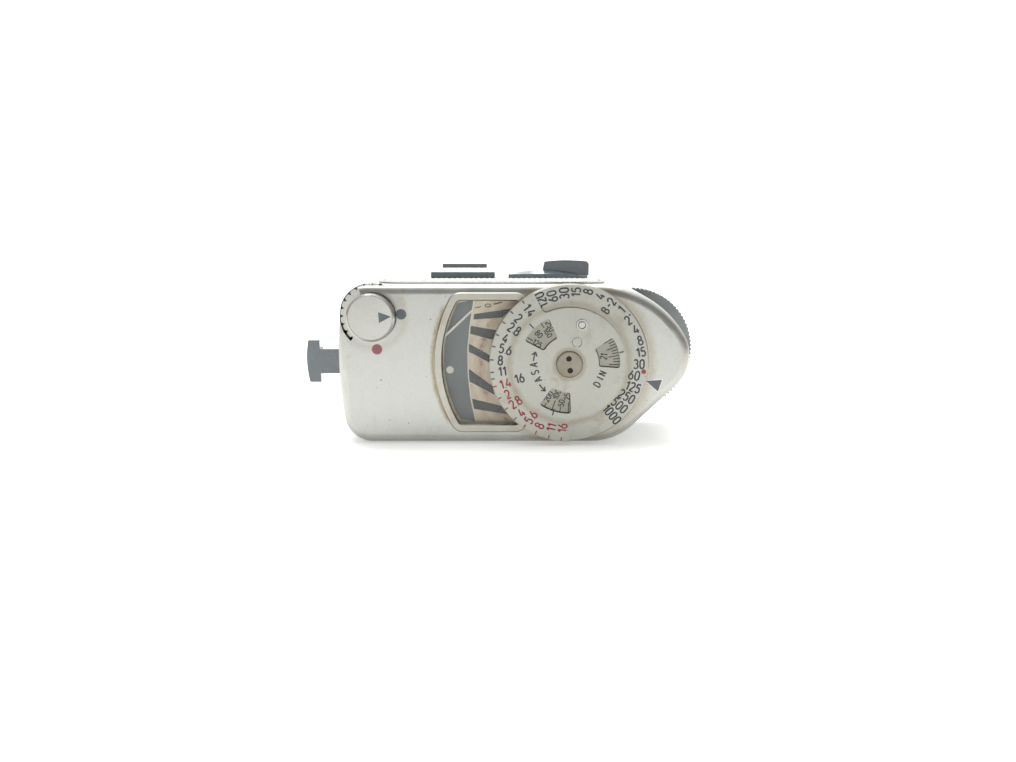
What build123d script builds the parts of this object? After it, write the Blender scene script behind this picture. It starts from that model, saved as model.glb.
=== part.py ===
# Clip-on selenium exposure meter that couples to a camera's shutter dial.
# +X runs from the range knob to the rounded tip, +Z is the side with the light cell,
# -Y is the dial face. The meter stands on its long rear side, at Z = 0.
from build123d import *
import math
import os

os.makedirs("parts", exist_ok=True)

# ---- driving dimensions, mm ----
BODY_H = 33.4            # body, rear side to cell side
BODY_LEFT = -33.9        # left end of the straight long sides
SIDE_BULGE = 1.5         # how far the left end bows out
NOSE_X = 39.7            # tip on the cell side, before its blend
NOSE_R = 21.9            # radius of the tip on the cell side
RAKE_X = 22.7            # where the slanted lower tip edge leaves the rear side
RAKE_DEG = 43.9          # slope of that edge
RAKE_BLEND = 12.4        # blend from the rear side into the slanted edge
TIP_BLEND = 9.0          # blend from the slanted edge into the nose
CORNER_R = 6.0           # two corners at the left end
FACE_ROUND = 2.0         # rounding around the dial face
FACE_WALL = 0.9          # thickness of the face
SIDE_WALL = 1.2          # thickness of the sides
HOUSING_DEPTH = 13.6     # metal upper housing
BASE_DEPTH = 3.4         # black base tray
BASE_FLOOR = 1.2
BASE_ROUND = 0.5

DIAL_X = 12.46           # calculator dial centre
DIAL_Z = 17.35
DIAL_R = 16.35
DIAL_GAP = 0.5           # face to the underside of the dial
RING_T = 1.1             # shutter-speed ring
FILM_T = 0.15            # printed film-speed disc
PLATE_T = 0.35           # aperture plate
PLATE_GAP = 0.05         # film-speed disc to plate
PLATE_R = 11.6           # plate where it isn't the aperture sector
FILM_R = 10.9
SECTOR_FROM = 117.0      # aperture sector, degrees counter-clockwise
SECTOR_TO = 271.0
SECTOR_NOTCH = 0.9       # rounding where the sector's edges meet the plate
HUB_R = 2.75             # hub screw head
HUB_T = 0.35
SPANNER_R = 0.58
SPANNER_OFF = 1.23
SPANNER_DEG = 97.0       # line through the two spanner holes
LOCK_AT_R = 8.45         # lock pin, from the dial centre
LOCK_DEG = 73.6
LOCK_R = 1.12
LOCK_PROUD = 0.3
LOCK_STROKE = 0.25
LOCK_CAP_R = 0.55         # raised middle of the pin
BOSS_AT_R = 4.75         # small stamped ring on the plate
BOSS_R = 1.15

DIAL_SHAFT_R = 2.0
GEAR_SEAT_R = 1.6
PIVOT_R = 1.2
RUN = 0.05               # running clearance of a shaft
COUPLE_X = 27.85         # coupling disc centre, on the underside
COUPLE_Z = 17.2
COUPLE_R = 13.75
COUPLE_T = 2.2
COUPLE_GAP = 0.3
COUPLE_RIBS = 90
RIB_H = 0.22
PIN_AT_R = 9.0
PIN_R = 1.0
PIN_LEN = 2.0
GEAR_T = 2.0
GEAR_FRONT = 9.6         # depth of the gears below the face
DIAL_TEETH = 20
IDLER_TEETH = 10
GEAR_SLACK = 0.07        # added to each centre distance
TOOTH_SHARE = 0.40       # tooth width over pitch, at the pitch circle
ADDENDUM = 0.80
DEDENDUM = 1.15

KNOB_X = -27.85          # range knob
KNOB_Z = 26.88
KNOB_R = 4.88
KNOB_PROUD = 2.5
KNOB_CHAMFER = 0.3
WHEEL_R = 6.65           # knurled thumb wheel under the face
WHEEL_TEETH = 24
WHEEL_TOOTH = 0.75
WHEEL_FRONT = 1.1
WHEEL_T = 1.6
WHEEL_SLACK = 0.12
NOTCH_FROM = 115.0       # the corner that is cut open over the wheel
NOTCH_TO = 228.0
KNOB_SHAFT_R = 1.5

WINDOW_R = 26.1          # left edge of the window, about the dial centre
WINDOW_TOP = 30.1
WINDOW_BOTTOM = 4.2
WINDOW_RIGHT = 2.4
WINDOW_CORNER = 1.0
BEZEL_W = 1.75           # bevelled frame around the window
BEZEL_PROUD = 0.35
BEZEL_BEVEL = 0.25
NECK_W = 1.1
REBATE = 0.5
GLASS_T = 0.6
GLUE = 0.05

PIVOT_X = -22.0          # needle pivot
PIVOT_Z = 14.4
NEEDLE_LEN = 19.9
NEEDLE_DEG = 43.0        # at rest, pointing at the zero mark
NEEDLE_W = 0.36
NEEDLE_T = 0.15
NEEDLE_DEPTH = 1.2
STAFF_R = 0.4
SCALE_DEPTH = 1.7
SCALE_T = 0.25

CELL_MID_X = -3.5        # selenium cell window, on the +Z side
CELL_LEN = 46.0
CELL_W = 8.0
CELL_MID_DEPTH = 7.1
LENS_T = 1.4
LENS_PROUD = 0.25
CELL_T = 0.8
FRAME_W = 0.8
FRAME_PROUD = 0.3

KEY_LEFT = -17.0         # release key
KEY_RIGHT = -2.97
KEY_BAND = 1.56          # straight part above the body
KEY_BEVEL = 0.97
KEY_SLOPE = 2.1          # how far back the sloped front goes
KEY_END = 1.3            # slant of the two ends
KEY_LIP = 0.7
KEY_W = 3.0
KEY_STROKE = 1.0
GUARD_LEFT = 0.0         # guard plate
GUARD_RIGHT = 15.15
GUARD_BAND = 1.2
GUARD_DOME = 0.8
GUARD_BOW = 0.1          # rise of the front top edge
GUARD_T = 1.5
TAB_LEFT = 7.3           # sliding tab
TAB_RIGHT = 17.65
TAB_H = 2.95
TAB_CROWN = 0.32
SLIDE_T = 0.9
SLIDE_TRAVEL = 4.0
SLIDE_RIBS = 16
SLIP = 0.1               # clearance of a sliding piece

RAIL_Z = 15.85           # T-shaped rail on the left end
RAIL_NECK_H = 5.4
RAIL_HEAD_H = 9.3
RAIL_NECK_END = 41.2
RAIL_END = 44.15
RAIL_BOW = 0.5           # how far the head's outer face bows out
RAIL_DEPTH = 11.0
RAIL_T = 3.0

FOOT_X = -9.5            # accessory-shoe foot
FOOT_Z = 16.7
FOOT_W = 18.6
FOOT_H = 17.0
FOOT_T = 2.0
FOOT_NECK_W = 12.4
FOOT_NECK_T = 1.6

# ---- derived ----
BODY_DEPTH = HOUSING_DEPTH + BASE_DEPTH
COUPLE_BACK = BODY_DEPTH + COUPLE_GAP + COUPLE_T
BACK = max(COUPLE_BACK + PIN_LEN, BODY_DEPTH + FOOT_NECK_T + FOOT_T)
RING_FRONT = -(DIAL_GAP + RING_T)
FILM_FRONT = RING_FRONT - FILM_T
PLATE_BACK = FILM_FRONT - PLATE_GAP
PLATE_FRONT = PLATE_BACK - PLATE_T
SHAFT_TOP = PLATE_FRONT - PLATE_GAP
HUB_FRONT = SHAFT_TOP - HUB_T
FRONT = min(HUB_FRONT, -KNOB_PROUD)
MID_X = (COUPLE_X + COUPLE_R + RIB_H - RAIL_END) / 2
MID_Y = (BACK + FRONT) / 2
WHEEL_BACK = WHEEL_FRONT + WHEEL_T
GEAR_BACK = GEAR_FRONT + GEAR_T


def face(depth):
    """Plane facing the viewer, a depth below the dial face; local x is X, local y is Z."""
    return Plane(origin=(-MID_X, depth - MID_Y, 0), x_dir=(1, 0, 0), z_dir=(0, -1, 0))


def level(height):
    """Plane facing +Z; local x is X, local y is the depth below the dial face."""
    return Plane(origin=(-MID_X, -MID_Y, height), x_dir=(1, 0, 0), z_dir=(0, 0, 1))


def polar(x, z, r, deg):
    """Point at a radius and angle from (x, z)."""
    return (x + r * math.cos(math.radians(deg)), z + r * math.sin(math.radians(deg)))


def finish(part, label):
    """Labels a piece and writes its STEP."""
    part.label = label
    export_step(part, f"parts/{label}.step")


# ---- shared outlines ----
nose_c = (NOSE_X - NOSE_R, BODY_H - NOSE_R)
rake = (math.cos(math.radians(RAKE_DEG)), math.sin(math.radians(RAKE_DEG)))
rake_dx = RAKE_X - nose_c[0]
rake_b = -(rake_dx * rake[0] - nose_c[1] * rake[1])
rake_len = rake_b + math.sqrt(rake_b**2 - (rake_dx**2 + nose_c[1] ** 2 - NOSE_R**2))
tip = (RAKE_X + rake_len * rake[0], rake_len * rake[1])
tip_deg = math.degrees(math.atan2(tip[1] - nose_c[1], tip[0] - nose_c[0]))

with BuildSketch() as body_outline:
    with BuildLine():
        Line((BODY_LEFT, 0), (RAKE_X, 0))
        Line((RAKE_X, 0), tip)
        ThreePointArc(tip, polar(*nose_c, NOSE_R, (tip_deg + 90) / 2), (nose_c[0], BODY_H))
        Line((nose_c[0], BODY_H), (BODY_LEFT, BODY_H))
        ThreePointArc(
            (BODY_LEFT, BODY_H), (BODY_LEFT - SIDE_BULGE, BODY_H / 2), (BODY_LEFT, 0)
        )
    make_face()
    left_corners = body_outline.vertices().sort_by(Axis.X)[:2]
    fillet(left_corners, CORNER_R)
    fillet(body_outline.vertices().sort_by_distance((RAKE_X, 0))[0], RAKE_BLEND)
    fillet(body_outline.vertices().sort_by_distance(tip)[0], TIP_BLEND)

with BuildSketch() as inner_outline:
    add(body_outline.sketch)
    offset(amount=-SIDE_WALL)


def window(grow):
    """Window opening, grown on every side."""
    with BuildSketch() as outline:
        with Locations((DIAL_X, DIAL_Z)):
            Circle(WINDOW_R + grow)
        with Locations((WINDOW_RIGHT + grow - WINDOW_R, (WINDOW_TOP + WINDOW_BOTTOM) / 2)):
            Rectangle(2 * WINDOW_R, WINDOW_TOP - WINDOW_BOTTOM + 2 * grow, mode=Mode.INTERSECT)
        fillet(outline.vertices(), WINDOW_CORNER + grow)
    return outline.sketch


# Places on the inside of the housing.
base_screws = [(-30.6, 4.6), (-19.6, 29.5), (18.5, 4.2), (29.6, 25.2)]
POST_R = 1.7
SCREW_POST_R = 1.35
SCREW_R = 0.7
SCREW_HEAD_R = 1.25
SCREW_HEAD_T = 0.8
SCREW_LEN = 8.0
BRACKET_FRONT = 3.0
BRACKET_T = 0.8
BRACKET_R = 4.0
bracket_post = base_screws[1]
bracket_peg = (-31.0, 18.6)
PEG_R = 0.8
scale_posts = [(6.4, 28.4), (6.4, 6.0)]
SCALE_POST_R = 1.1
PILLAR_OFF = 7.9
PILLAR_DEG = 75.0
PILLAR_R = 1.1
BRIDGE_FRONT = 1.8
BRIDGE_T = 0.9
BRIDGE_W = 3.2
pillars = [
    polar(PIVOT_X, PIVOT_Z, PILLAR_OFF, PILLAR_DEG),
    polar(PIVOT_X, PIVOT_Z, PILLAR_OFF, PILLAR_DEG + 180),
]
BUSH_R = 3.0
BUSH_FLANGE_R = 4.2
BUSH_FLANGE_T = 0.8
BUSH_DEEP = 4.0
IDLER_POST_R = 1.6
IDLER_STUD_R = 1.0
idler_at = ((DIAL_X + COUPLE_X) / 2, (DIAL_Z + COUPLE_Z) / 2)
PIVOT_POST_R = 2.2
PIVOT_POST_BACK = 9.0
PIVOT_DEEP = 2.2
GUARD_SEAM = 0.15
GUARD_BACK = HOUSING_DEPTH - GUARD_SEAM
GUARD_MID = GUARD_BACK - GUARD_T / 2
GUARD_PEG_R = 0.45
guard_pegs = [(GUARD_LEFT + 2.2, GUARD_MID), (GUARD_RIGHT - 2.2, GUARD_MID)]

with BuildPart() as top_housing:
    with BuildSketch(face(HOUSING_DEPTH)):
        add(body_outline.sketch)
    extrude(amount=HOUSING_DEPTH)
    fillet(top_housing.faces().sort_by(Axis.Y)[0].edges(), FACE_ROUND)
    with BuildSketch(face(HOUSING_DEPTH)):
        add(inner_outline.sketch)
    extrude(amount=HOUSING_DEPTH - FACE_WALL, mode=Mode.SUBTRACT)
    # Posts that the inner pieces stand on.
    with BuildSketch(face(HOUSING_DEPTH)):
        with Locations(*base_screws):
            Circle(SCREW_POST_R)
    extrude(amount=HOUSING_DEPTH - FACE_WALL)
    with BuildSketch(face(BRACKET_FRONT)):
        with Locations(bracket_post):
            Circle(POST_R)
        with Locations(bracket_peg):
            Circle(PEG_R)
    extrude(amount=BRACKET_FRONT - FACE_WALL)
    with BuildSketch(face(BRIDGE_FRONT)):
        with Locations(*pillars):
            Circle(PILLAR_R)
    extrude(amount=BRIDGE_FRONT - FACE_WALL)
    with BuildSketch(face(SCALE_DEPTH)):
        with Locations(*scale_posts):
            Circle(SCALE_POST_R)
    extrude(amount=SCALE_DEPTH - FACE_WALL)
    with BuildSketch(face(PIVOT_POST_BACK)):
        with Locations((COUPLE_X, COUPLE_Z)):
            Circle(PIVOT_POST_R)
        with Locations(idler_at):
            Circle(IDLER_POST_R)
    extrude(amount=PIVOT_POST_BACK - FACE_WALL)
    # Openings in the face.
    with BuildSketch(face(FACE_WALL)):
        add(window(NECK_W + GLUE))
        with Locations((DIAL_X, DIAL_Z)):
            Circle(BUSH_R)
        with Locations((KNOB_X, KNOB_Z)):
            Circle(KNOB_R + WHEEL_SLACK)
    extrude(amount=FACE_WALL, mode=Mode.SUBTRACT)
    with BuildSketch(face(WHEEL_BACK + WHEEL_SLACK)):
        with Locations((KNOB_X, KNOB_Z)):
            Circle(WHEEL_R + WHEEL_SLACK)
    extrude(amount=WHEEL_BACK + WHEEL_SLACK - FACE_WALL, mode=Mode.SUBTRACT)
    with BuildSketch(face(WHEEL_BACK + WHEEL_SLACK)):
        with BuildLine():
            notch_a = polar(KNOB_X, KNOB_Z, WHEEL_R + WHEEL_SLACK, NOTCH_FROM)
            notch_b = polar(KNOB_X, KNOB_Z, WHEEL_R + WHEEL_SLACK, NOTCH_TO)
            notch_mid = polar(KNOB_X, KNOB_Z, WHEEL_R + WHEEL_SLACK, (NOTCH_FROM + NOTCH_TO) / 2)
            ThreePointArc(notch_a, notch_mid, notch_b)
            Line(notch_b, (KNOB_X, KNOB_Z))
            Line((KNOB_X, KNOB_Z), notch_a)
        make_face()
    extrude(amount=WHEEL_BACK + WHEEL_SLACK, mode=Mode.SUBTRACT)
    # Cell window on the +Z side, and holes for the guard's pegs.
    with BuildSketch(level(BODY_H - SIDE_WALL - 0.01)):
        with Locations((CELL_MID_X, CELL_MID_DEPTH)):
            SlotOverall(CELL_LEN + 2 * GLUE, CELL_W + 2 * GLUE)
        with Locations(*guard_pegs):
            Circle(GUARD_PEG_R)
    extrude(amount=SIDE_WALL + 0.02, mode=Mode.SUBTRACT)
    # Slot for the rail on the left end.
    with BuildSketch(Plane.YZ.offset(-MID_X + BODY_LEFT - 2 * SIDE_BULGE)):
        with Locations((RAIL_DEPTH - MID_Y, RAIL_Z)):
            Rectangle(RAIL_T, RAIL_NECK_H)
    extrude(amount=3 * SIDE_BULGE + SIDE_WALL, mode=Mode.SUBTRACT)
    # Screw holes.
    with BuildSketch(face(HOUSING_DEPTH)):
        with Locations(*base_screws):
            Circle(SCREW_R)
    extrude(amount=SCREW_LEN - BASE_FLOOR, mode=Mode.SUBTRACT)
    with BuildSketch(face(PIVOT_POST_BACK)):
        with Locations((COUPLE_X, COUPLE_Z)):
            Circle(PIVOT_R + RUN)
    extrude(amount=PIVOT_DEEP, mode=Mode.SUBTRACT)
    with BuildSketch(face(PIVOT_POST_BACK)):
        with Locations(idler_at):
            Circle(IDLER_STUD_R)
    extrude(amount=PIVOT_DEEP, mode=Mode.SUBTRACT)
finish(top_housing.part, "top_housing")

# ---- window, scale and glass ----
with BuildPart() as window_bezel:
    with BuildSketch(face(0)):
        add(window(BEZEL_W))
    extrude(amount=BEZEL_PROUD)
    bezel_front = window_bezel.faces().sort_by(Axis.Y)[0]
    chamfer(bezel_front.edges(), BEZEL_BEVEL)
    with BuildSketch(face(FACE_WALL)):
        add(window(NECK_W))
    extrude(amount=FACE_WALL)
    with BuildSketch(face(FACE_WALL)):
        add(window(REBATE))
    extrude(amount=FACE_WALL, mode=Mode.SUBTRACT)
    with BuildSketch(face(0)):
        add(window(0))
    extrude(amount=BEZEL_PROUD, taper=-35, mode=Mode.SUBTRACT)
finish(window_bezel.part, "window_bezel")

with BuildPart() as window_glass:
    with BuildSketch(face(GLASS_T)):
        add(window(REBATE - GLUE))
    extrude(amount=GLASS_T)
finish(window_glass.part, "window_glass")

SCALE_SIDE = 1.0
SCALE_TOP = 31.4
SCALE_BOTTOM = 2.6
SCALE_RIGHT = 8.0
with BuildPart() as scale_plate:
    with BuildSketch(face(SCALE_DEPTH + SCALE_T)) as scale_sketch:
        with BuildLine():
            Line((WINDOW_RIGHT, SCALE_BOTTOM), (DIAL_X - WINDOW_R, SCALE_BOTTOM))
            Line((DIAL_X - WINDOW_R, SCALE_BOTTOM), (DIAL_X - WINDOW_R, SCALE_TOP))
            Line((DIAL_X - WINDOW_R, SCALE_TOP), (SCALE_RIGHT, SCALE_TOP))
            Line((SCALE_RIGHT, SCALE_TOP), (SCALE_RIGHT, DIAL_Z + BUSH_FLANGE_R + SCALE_SIDE))
            Line(
                (SCALE_RIGHT, DIAL_Z + BUSH_FLANGE_R + SCALE_SIDE),
                (WINDOW_RIGHT + 2 * SCALE_SIDE, DIAL_Z + SCALE_SIDE),
            )
            Line(
                (WINDOW_RIGHT + 2 * SCALE_SIDE, DIAL_Z + SCALE_SIDE),
                (WINDOW_RIGHT + 2 * SCALE_SIDE, DIAL_Z - SCALE_SIDE),
            )
            Line(
                (WINDOW_RIGHT + 2 * SCALE_SIDE, DIAL_Z - SCALE_SIDE),
                (SCALE_RIGHT, DIAL_Z - BUSH_FLANGE_R - SCALE_SIDE),
            )
            Line((SCALE_RIGHT, DIAL_Z - BUSH_FLANGE_R - SCALE_SIDE), (SCALE_RIGHT, SCALE_BOTTOM))
            Line((SCALE_RIGHT, SCALE_BOTTOM), (WINDOW_RIGHT, SCALE_BOTTOM))
        make_face()
        with Locations(*scale_posts):
            Circle(SPANNER_R, mode=Mode.SUBTRACT)
    extrude(amount=SCALE_T)
finish(scale_plate.part, "scale_plate")

# ---- light cell on the +Z side ----
LENS_DOME = 0.35
CELL_TOP = BODY_H - SIDE_WALL - 0.2
with BuildPart() as cell_lens:
    with BuildSketch(level(BODY_H - SIDE_WALL)):
        with Locations((CELL_MID_X, CELL_MID_DEPTH)):
            SlotOverall(CELL_LEN, CELL_W)
    extrude(amount=LENS_T + LENS_PROUD - 0.2)
    chamfer(cell_lens.faces().sort_by(Axis.Z)[-1].edges(), LENS_DOME / 2)
finish(cell_lens.part, "cell_lens")

with BuildPart() as cell_frame:
    with BuildSketch(level(BODY_H)):
        with Locations((CELL_MID_X, CELL_MID_DEPTH)):
            SlotOverall(CELL_LEN + 2 * FRAME_W, CELL_W + 2 * FRAME_W)
            SlotOverall(CELL_LEN, CELL_W, mode=Mode.SUBTRACT)
    extrude(amount=FRAME_PROUD)
finish(cell_frame.part, "cell_frame")

with BuildPart() as selenium_cell:
    with BuildSketch(level(BODY_H - SIDE_WALL - CELL_T)):
        with Locations((CELL_MID_X, CELL_MID_DEPTH)):
            Rectangle(CELL_LEN - CELL_W / 2, CELL_W)
    extrude(amount=CELL_T)
finish(selenium_cell.part, "selenium_cell")

CONTACT_W = 2.0
CONTACT_T = 0.2
CONTACT_DROP = 1.4
contact_x = {"cell_contact_left": -9.0, "cell_contact_right": 6.0}
for name, x in contact_x.items():
    with BuildPart() as cell_contact:
        with BuildSketch(level(BODY_H - SIDE_WALL - CELL_T - CONTACT_T)):
            with Locations((x, CELL_MID_DEPTH)):
                Rectangle(CONTACT_W, CELL_W / 2)
        extrude(amount=CONTACT_T)
        with BuildSketch(level(BODY_H - SIDE_WALL - CELL_T - CONTACT_DROP)):
            with Locations((x, CELL_MID_DEPTH + CELL_W / 4)):
                Rectangle(CONTACT_W, CONTACT_T)
        extrude(amount=CONTACT_DROP - CONTACT_T)
    finish(cell_contact.part, name)

# ---- moving-coil movement ----
CORE_R = 3.2
CORE_FRONT = 4.2
CORE_BACK = 9.2
YOKE_IN = 4.7
YOKE_OUT = 6.6
EAR_R = 1.9
LUG_W = 1.8
COIL_IN = 3.5
COIL_OUT = 4.3
COIL_W = 1.6
COIL_GAP = 0.4
COIL_LEG = 0.8
STAFF_GAP = 0.04
HUB_CAP_R = 0.9
TAIL_LEN = 3.0
WEIGHT_R = 0.5
COIL_FRONT = CORE_FRONT - COIL_GAP - COIL_LEG
COIL_BACK = CORE_BACK + COIL_GAP + COIL_LEG
BACK_BRIDGE = COIL_BACK + 0.5
pivot = (PIVOT_X, PIVOT_Z)

with BuildPart() as yoke:
    with BuildSketch(face(CORE_BACK)):
        with Locations(pivot):
            Circle(YOKE_OUT)
        with Locations(*pillars):
            Circle(EAR_R)
        with Locations(pivot):
            Circle(YOKE_IN, mode=Mode.SUBTRACT)
        with Locations(Location(pivot, PILLAR_DEG)):
            Rectangle(2 * YOKE_IN + YOKE_OUT - YOKE_IN, LUG_W)
        with Locations(pivot):
            Circle(CORE_R, mode=Mode.SUBTRACT)
        with Locations(*pillars):
            Circle(PILLAR_R, mode=Mode.SUBTRACT)
    extrude(amount=CORE_BACK - CORE_FRONT)
finish(yoke.part, "yoke")

with BuildPart() as magnet_core:
    with BuildSketch(face(CORE_BACK)):
        with Locations(pivot):
            Circle(CORE_R)
    extrude(amount=CORE_BACK - CORE_FRONT)
finish(magnet_core.part, "magnet_core")

for name, at in (("pillar_upper", pillars[0]), ("pillar_lower", pillars[1])):
    with BuildPart() as pillar:
        with BuildSketch(face(BACK_BRIDGE)):
            with Locations(at):
                Circle(PILLAR_R)
        extrude(amount=BACK_BRIDGE - BRIDGE_FRONT - BRIDGE_T)
    finish(pillar.part, name)

for name, back in (
    ("front_bridge", BRIDGE_FRONT + BRIDGE_T),
    ("back_bridge", BACK_BRIDGE + BRIDGE_T),
):
    with BuildPart() as bridge:
        with BuildSketch(face(back)):
            with Locations(Location(pivot, PILLAR_DEG)):
                SlotCenterToCenter(2 * PILLAR_OFF, BRIDGE_W)
            with Locations(pivot):
                Circle(STAFF_R + STAFF_GAP, mode=Mode.SUBTRACT)
        extrude(amount=BRIDGE_T)
    finish(bridge.part, name)

with BuildPart() as moving_coil:
    with BuildSketch(face(COIL_BACK)):
        with Locations(Location(pivot, NEEDLE_DEG)):
            Rectangle(2 * COIL_OUT, COIL_W)
    extrude(amount=COIL_BACK - COIL_FRONT)
    with BuildSketch(face(COIL_BACK - COIL_LEG)):
        with Locations(Location(pivot, NEEDLE_DEG)):
            Rectangle(2 * COIL_IN, COIL_W)
    extrude(amount=COIL_BACK - COIL_FRONT - 2 * COIL_LEG, mode=Mode.SUBTRACT)
    with BuildSketch(face(COIL_FRONT)):
        with Locations(pivot):
            Circle(STAFF_R)
    extrude(amount=COIL_FRONT - NEEDLE_DEPTH - NEEDLE_T)
    with BuildSketch(face(BACK_BRIDGE + BRIDGE_T)):
        with Locations(pivot):
            Circle(STAFF_R)
    extrude(amount=BACK_BRIDGE + BRIDGE_T - COIL_BACK)
finish(moving_coil.part, "moving_coil")

with BuildPart() as needle:
    with BuildSketch(face(NEEDLE_DEPTH + NEEDLE_T)):
        with Locations(pivot):
            Circle(HUB_CAP_R)
        with BuildLine():
            Polyline(
                polar(*pivot, NEEDLE_W, NEEDLE_DEG + 90),
                polar(*pivot, NEEDLE_LEN, NEEDLE_DEG + 0.5),
                polar(*pivot, NEEDLE_LEN, NEEDLE_DEG - 0.5),
                polar(*pivot, NEEDLE_W, NEEDLE_DEG - 90),
                close=True,
            )
        make_face()
        with Locations(Location(polar(*pivot, TAIL_LEN / 2, NEEDLE_DEG + 180), NEEDLE_DEG)):
            Rectangle(TAIL_LEN, NEEDLE_W)
        with Locations(polar(*pivot, TAIL_LEN, NEEDLE_DEG + 180)):
            Circle(WEIGHT_R)
    extrude(amount=NEEDLE_T)
finish(needle.part, "needle")

HAIR_IN = 0.9
HAIR_PITCH = 0.45
HAIR_TURNS = 3
HAIR_W = 0.12
HAIR_T = 0.25
with BuildPart() as hairspring:
    with BuildSketch(face(COIL_BACK + HAIR_T)):
        for turn in range(HAIR_TURNS):
            with Locations(pivot):
                Circle(HAIR_IN + turn * HAIR_PITCH + HAIR_W)
                Circle(HAIR_IN + turn * HAIR_PITCH, mode=Mode.SUBTRACT)
        with Locations(Location(pivot, NEEDLE_DEG)):
            Rectangle(2 * (HAIR_IN + HAIR_PITCH * (HAIR_TURNS - 1)), HAIR_W)
        with Locations(pivot):
            Circle(HAIR_IN - HAIR_W)
            Circle(STAFF_R, mode=Mode.SUBTRACT)
    extrude(amount=HAIR_T)
finish(hairspring.part, "hairspring")

# ---- range knob and its switch ----
with BuildPart() as range_knob:
    with BuildSketch(face(WHEEL_BACK)):
        with Locations((KNOB_X, KNOB_Z)):
            Circle(WHEEL_R)
            with PolarLocations(WHEEL_R + WHEEL_TOOTH * 0.15, WHEEL_TEETH):
                RegularPolygon(WHEEL_TOOTH, 3, rotation=180, mode=Mode.SUBTRACT)
    extrude(amount=WHEEL_T)
    with BuildSketch(face(WHEEL_FRONT)):
        with Locations((KNOB_X, KNOB_Z)):
            Circle(KNOB_R)
    extrude(amount=WHEEL_FRONT + KNOB_PROUD)
    chamfer(range_knob.faces().sort_by(Axis.Y)[0].edges(), KNOB_CHAMFER)
    with BuildSketch(face(BRACKET_FRONT + BRACKET_T + 1.2)):
        with Locations((KNOB_X, KNOB_Z)):
            Circle(KNOB_SHAFT_R)
    extrude(amount=BRACKET_FRONT + BRACKET_T + 1.2 - WHEEL_BACK)
finish(range_knob.part, "range_knob")

with BuildPart() as switch_bracket:
    with BuildSketch(face(BRACKET_FRONT + BRACKET_T)) as bracket_sketch:
        with Locations((KNOB_X, KNOB_Z)):
            Circle(BRACKET_R)
        with Locations(bracket_post):
            Circle(POST_R)
        with Locations(bracket_peg):
            Circle(POST_R)
        for end in (bracket_post, bracket_peg):
            with BuildLine() as arm:
                Line((KNOB_X, KNOB_Z), end)
            trace(line_width=2 * SCREW_POST_R)
        with Locations(bracket_post):
            Circle(SCREW_POST_R, mode=Mode.SUBTRACT)
        with Locations((KNOB_X, KNOB_Z)):
            Circle(KNOB_SHAFT_R + RUN, mode=Mode.SUBTRACT)
    extrude(amount=BRACKET_T)
finish(switch_bracket.part, "switch_bracket")

STUD_AT_R = 3.0
STUD_R = 0.6
STUD_H = 0.3
for name, deg in (("switch_stud_high", 4.0), ("switch_stud_low", -86.0)):
    with BuildPart() as stud:
        with BuildSketch(face(BRACKET_FRONT + BRACKET_T + STUD_H)):
            with Locations(polar(KNOB_X, KNOB_Z, STUD_AT_R, deg)):
                Circle(STUD_R)
        extrude(amount=STUD_H)
    finish(stud.part, name)

WIPER_W = 1.0
WIPER_T = 0.3
WIPER_LEN = 3.5
with BuildPart() as switch_wiper:
    with BuildSketch(face(BRACKET_FRONT + BRACKET_T + STUD_H + RUN + WIPER_T)):
        with Locations((KNOB_X, KNOB_Z)):
            Circle(KNOB_SHAFT_R + 0.7)
        with Locations(Location(polar(KNOB_X, KNOB_Z, WIPER_LEN / 2, 4.0), 4.0)):
            Rectangle(WIPER_LEN, WIPER_W)
        with Locations((KNOB_X, KNOB_Z)):
            Circle(KNOB_SHAFT_R, mode=Mode.SUBTRACT)
    extrude(amount=WIPER_T)
finish(switch_wiper.part, "switch_wiper")

# ---- calculator dial ----
dial_at = (DIAL_X, DIAL_Z)
axis_deg = math.degrees(math.atan2(COUPLE_Z - DIAL_Z, COUPLE_X - DIAL_X))
axis_gap = math.hypot(COUPLE_Z - DIAL_Z, COUPLE_X - DIAL_X) / 2
MODULE = 2 * (axis_gap - GEAR_SLACK) / (DIAL_TEETH + IDLER_TEETH)


def gear_outline(teeth, at, first_deg, bore_r):
    """Spur gear outline with straight-flanked teeth, one tooth centred on first_deg."""
    pitch_r = MODULE * teeth / 2
    step = 360 / teeth
    root = pitch_r - DEDENDUM * MODULE
    top = pitch_r + ADDENDUM * MODULE
    half = step * TOOTH_SHARE / 2
    flanks = ((root, half * 1.45), (pitch_r, half), (top, half * 0.5))
    points = []
    for tooth in range(teeth):
        mid = first_deg + tooth * step
        points += [polar(*at, r, mid - a) for r, a in flanks]
        points += [polar(*at, r, mid + a) for r, a in reversed(flanks)]
    with BuildSketch() as outline:
        with BuildLine():
            Polyline(*points, close=True)
        make_face()
        with Locations(at):
            Circle(bore_r, mode=Mode.SUBTRACT)
    return outline.sketch


with BuildPart() as dial_bushing:
    with BuildSketch(face(BUSH_DEEP)):
        with Locations(dial_at):
            Circle(BUSH_R)
    extrude(amount=BUSH_DEEP)
    with BuildSketch(face(FACE_WALL + BUSH_FLANGE_T)):
        with Locations(dial_at):
            Circle(BUSH_FLANGE_R)
    extrude(amount=BUSH_FLANGE_T)
    with BuildSketch(face(BUSH_DEEP)):
        with Locations(dial_at):
            Circle(DIAL_SHAFT_R + RUN)
    extrude(amount=BUSH_DEEP, mode=Mode.SUBTRACT)
finish(dial_bushing.part, "dial_bushing")

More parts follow.
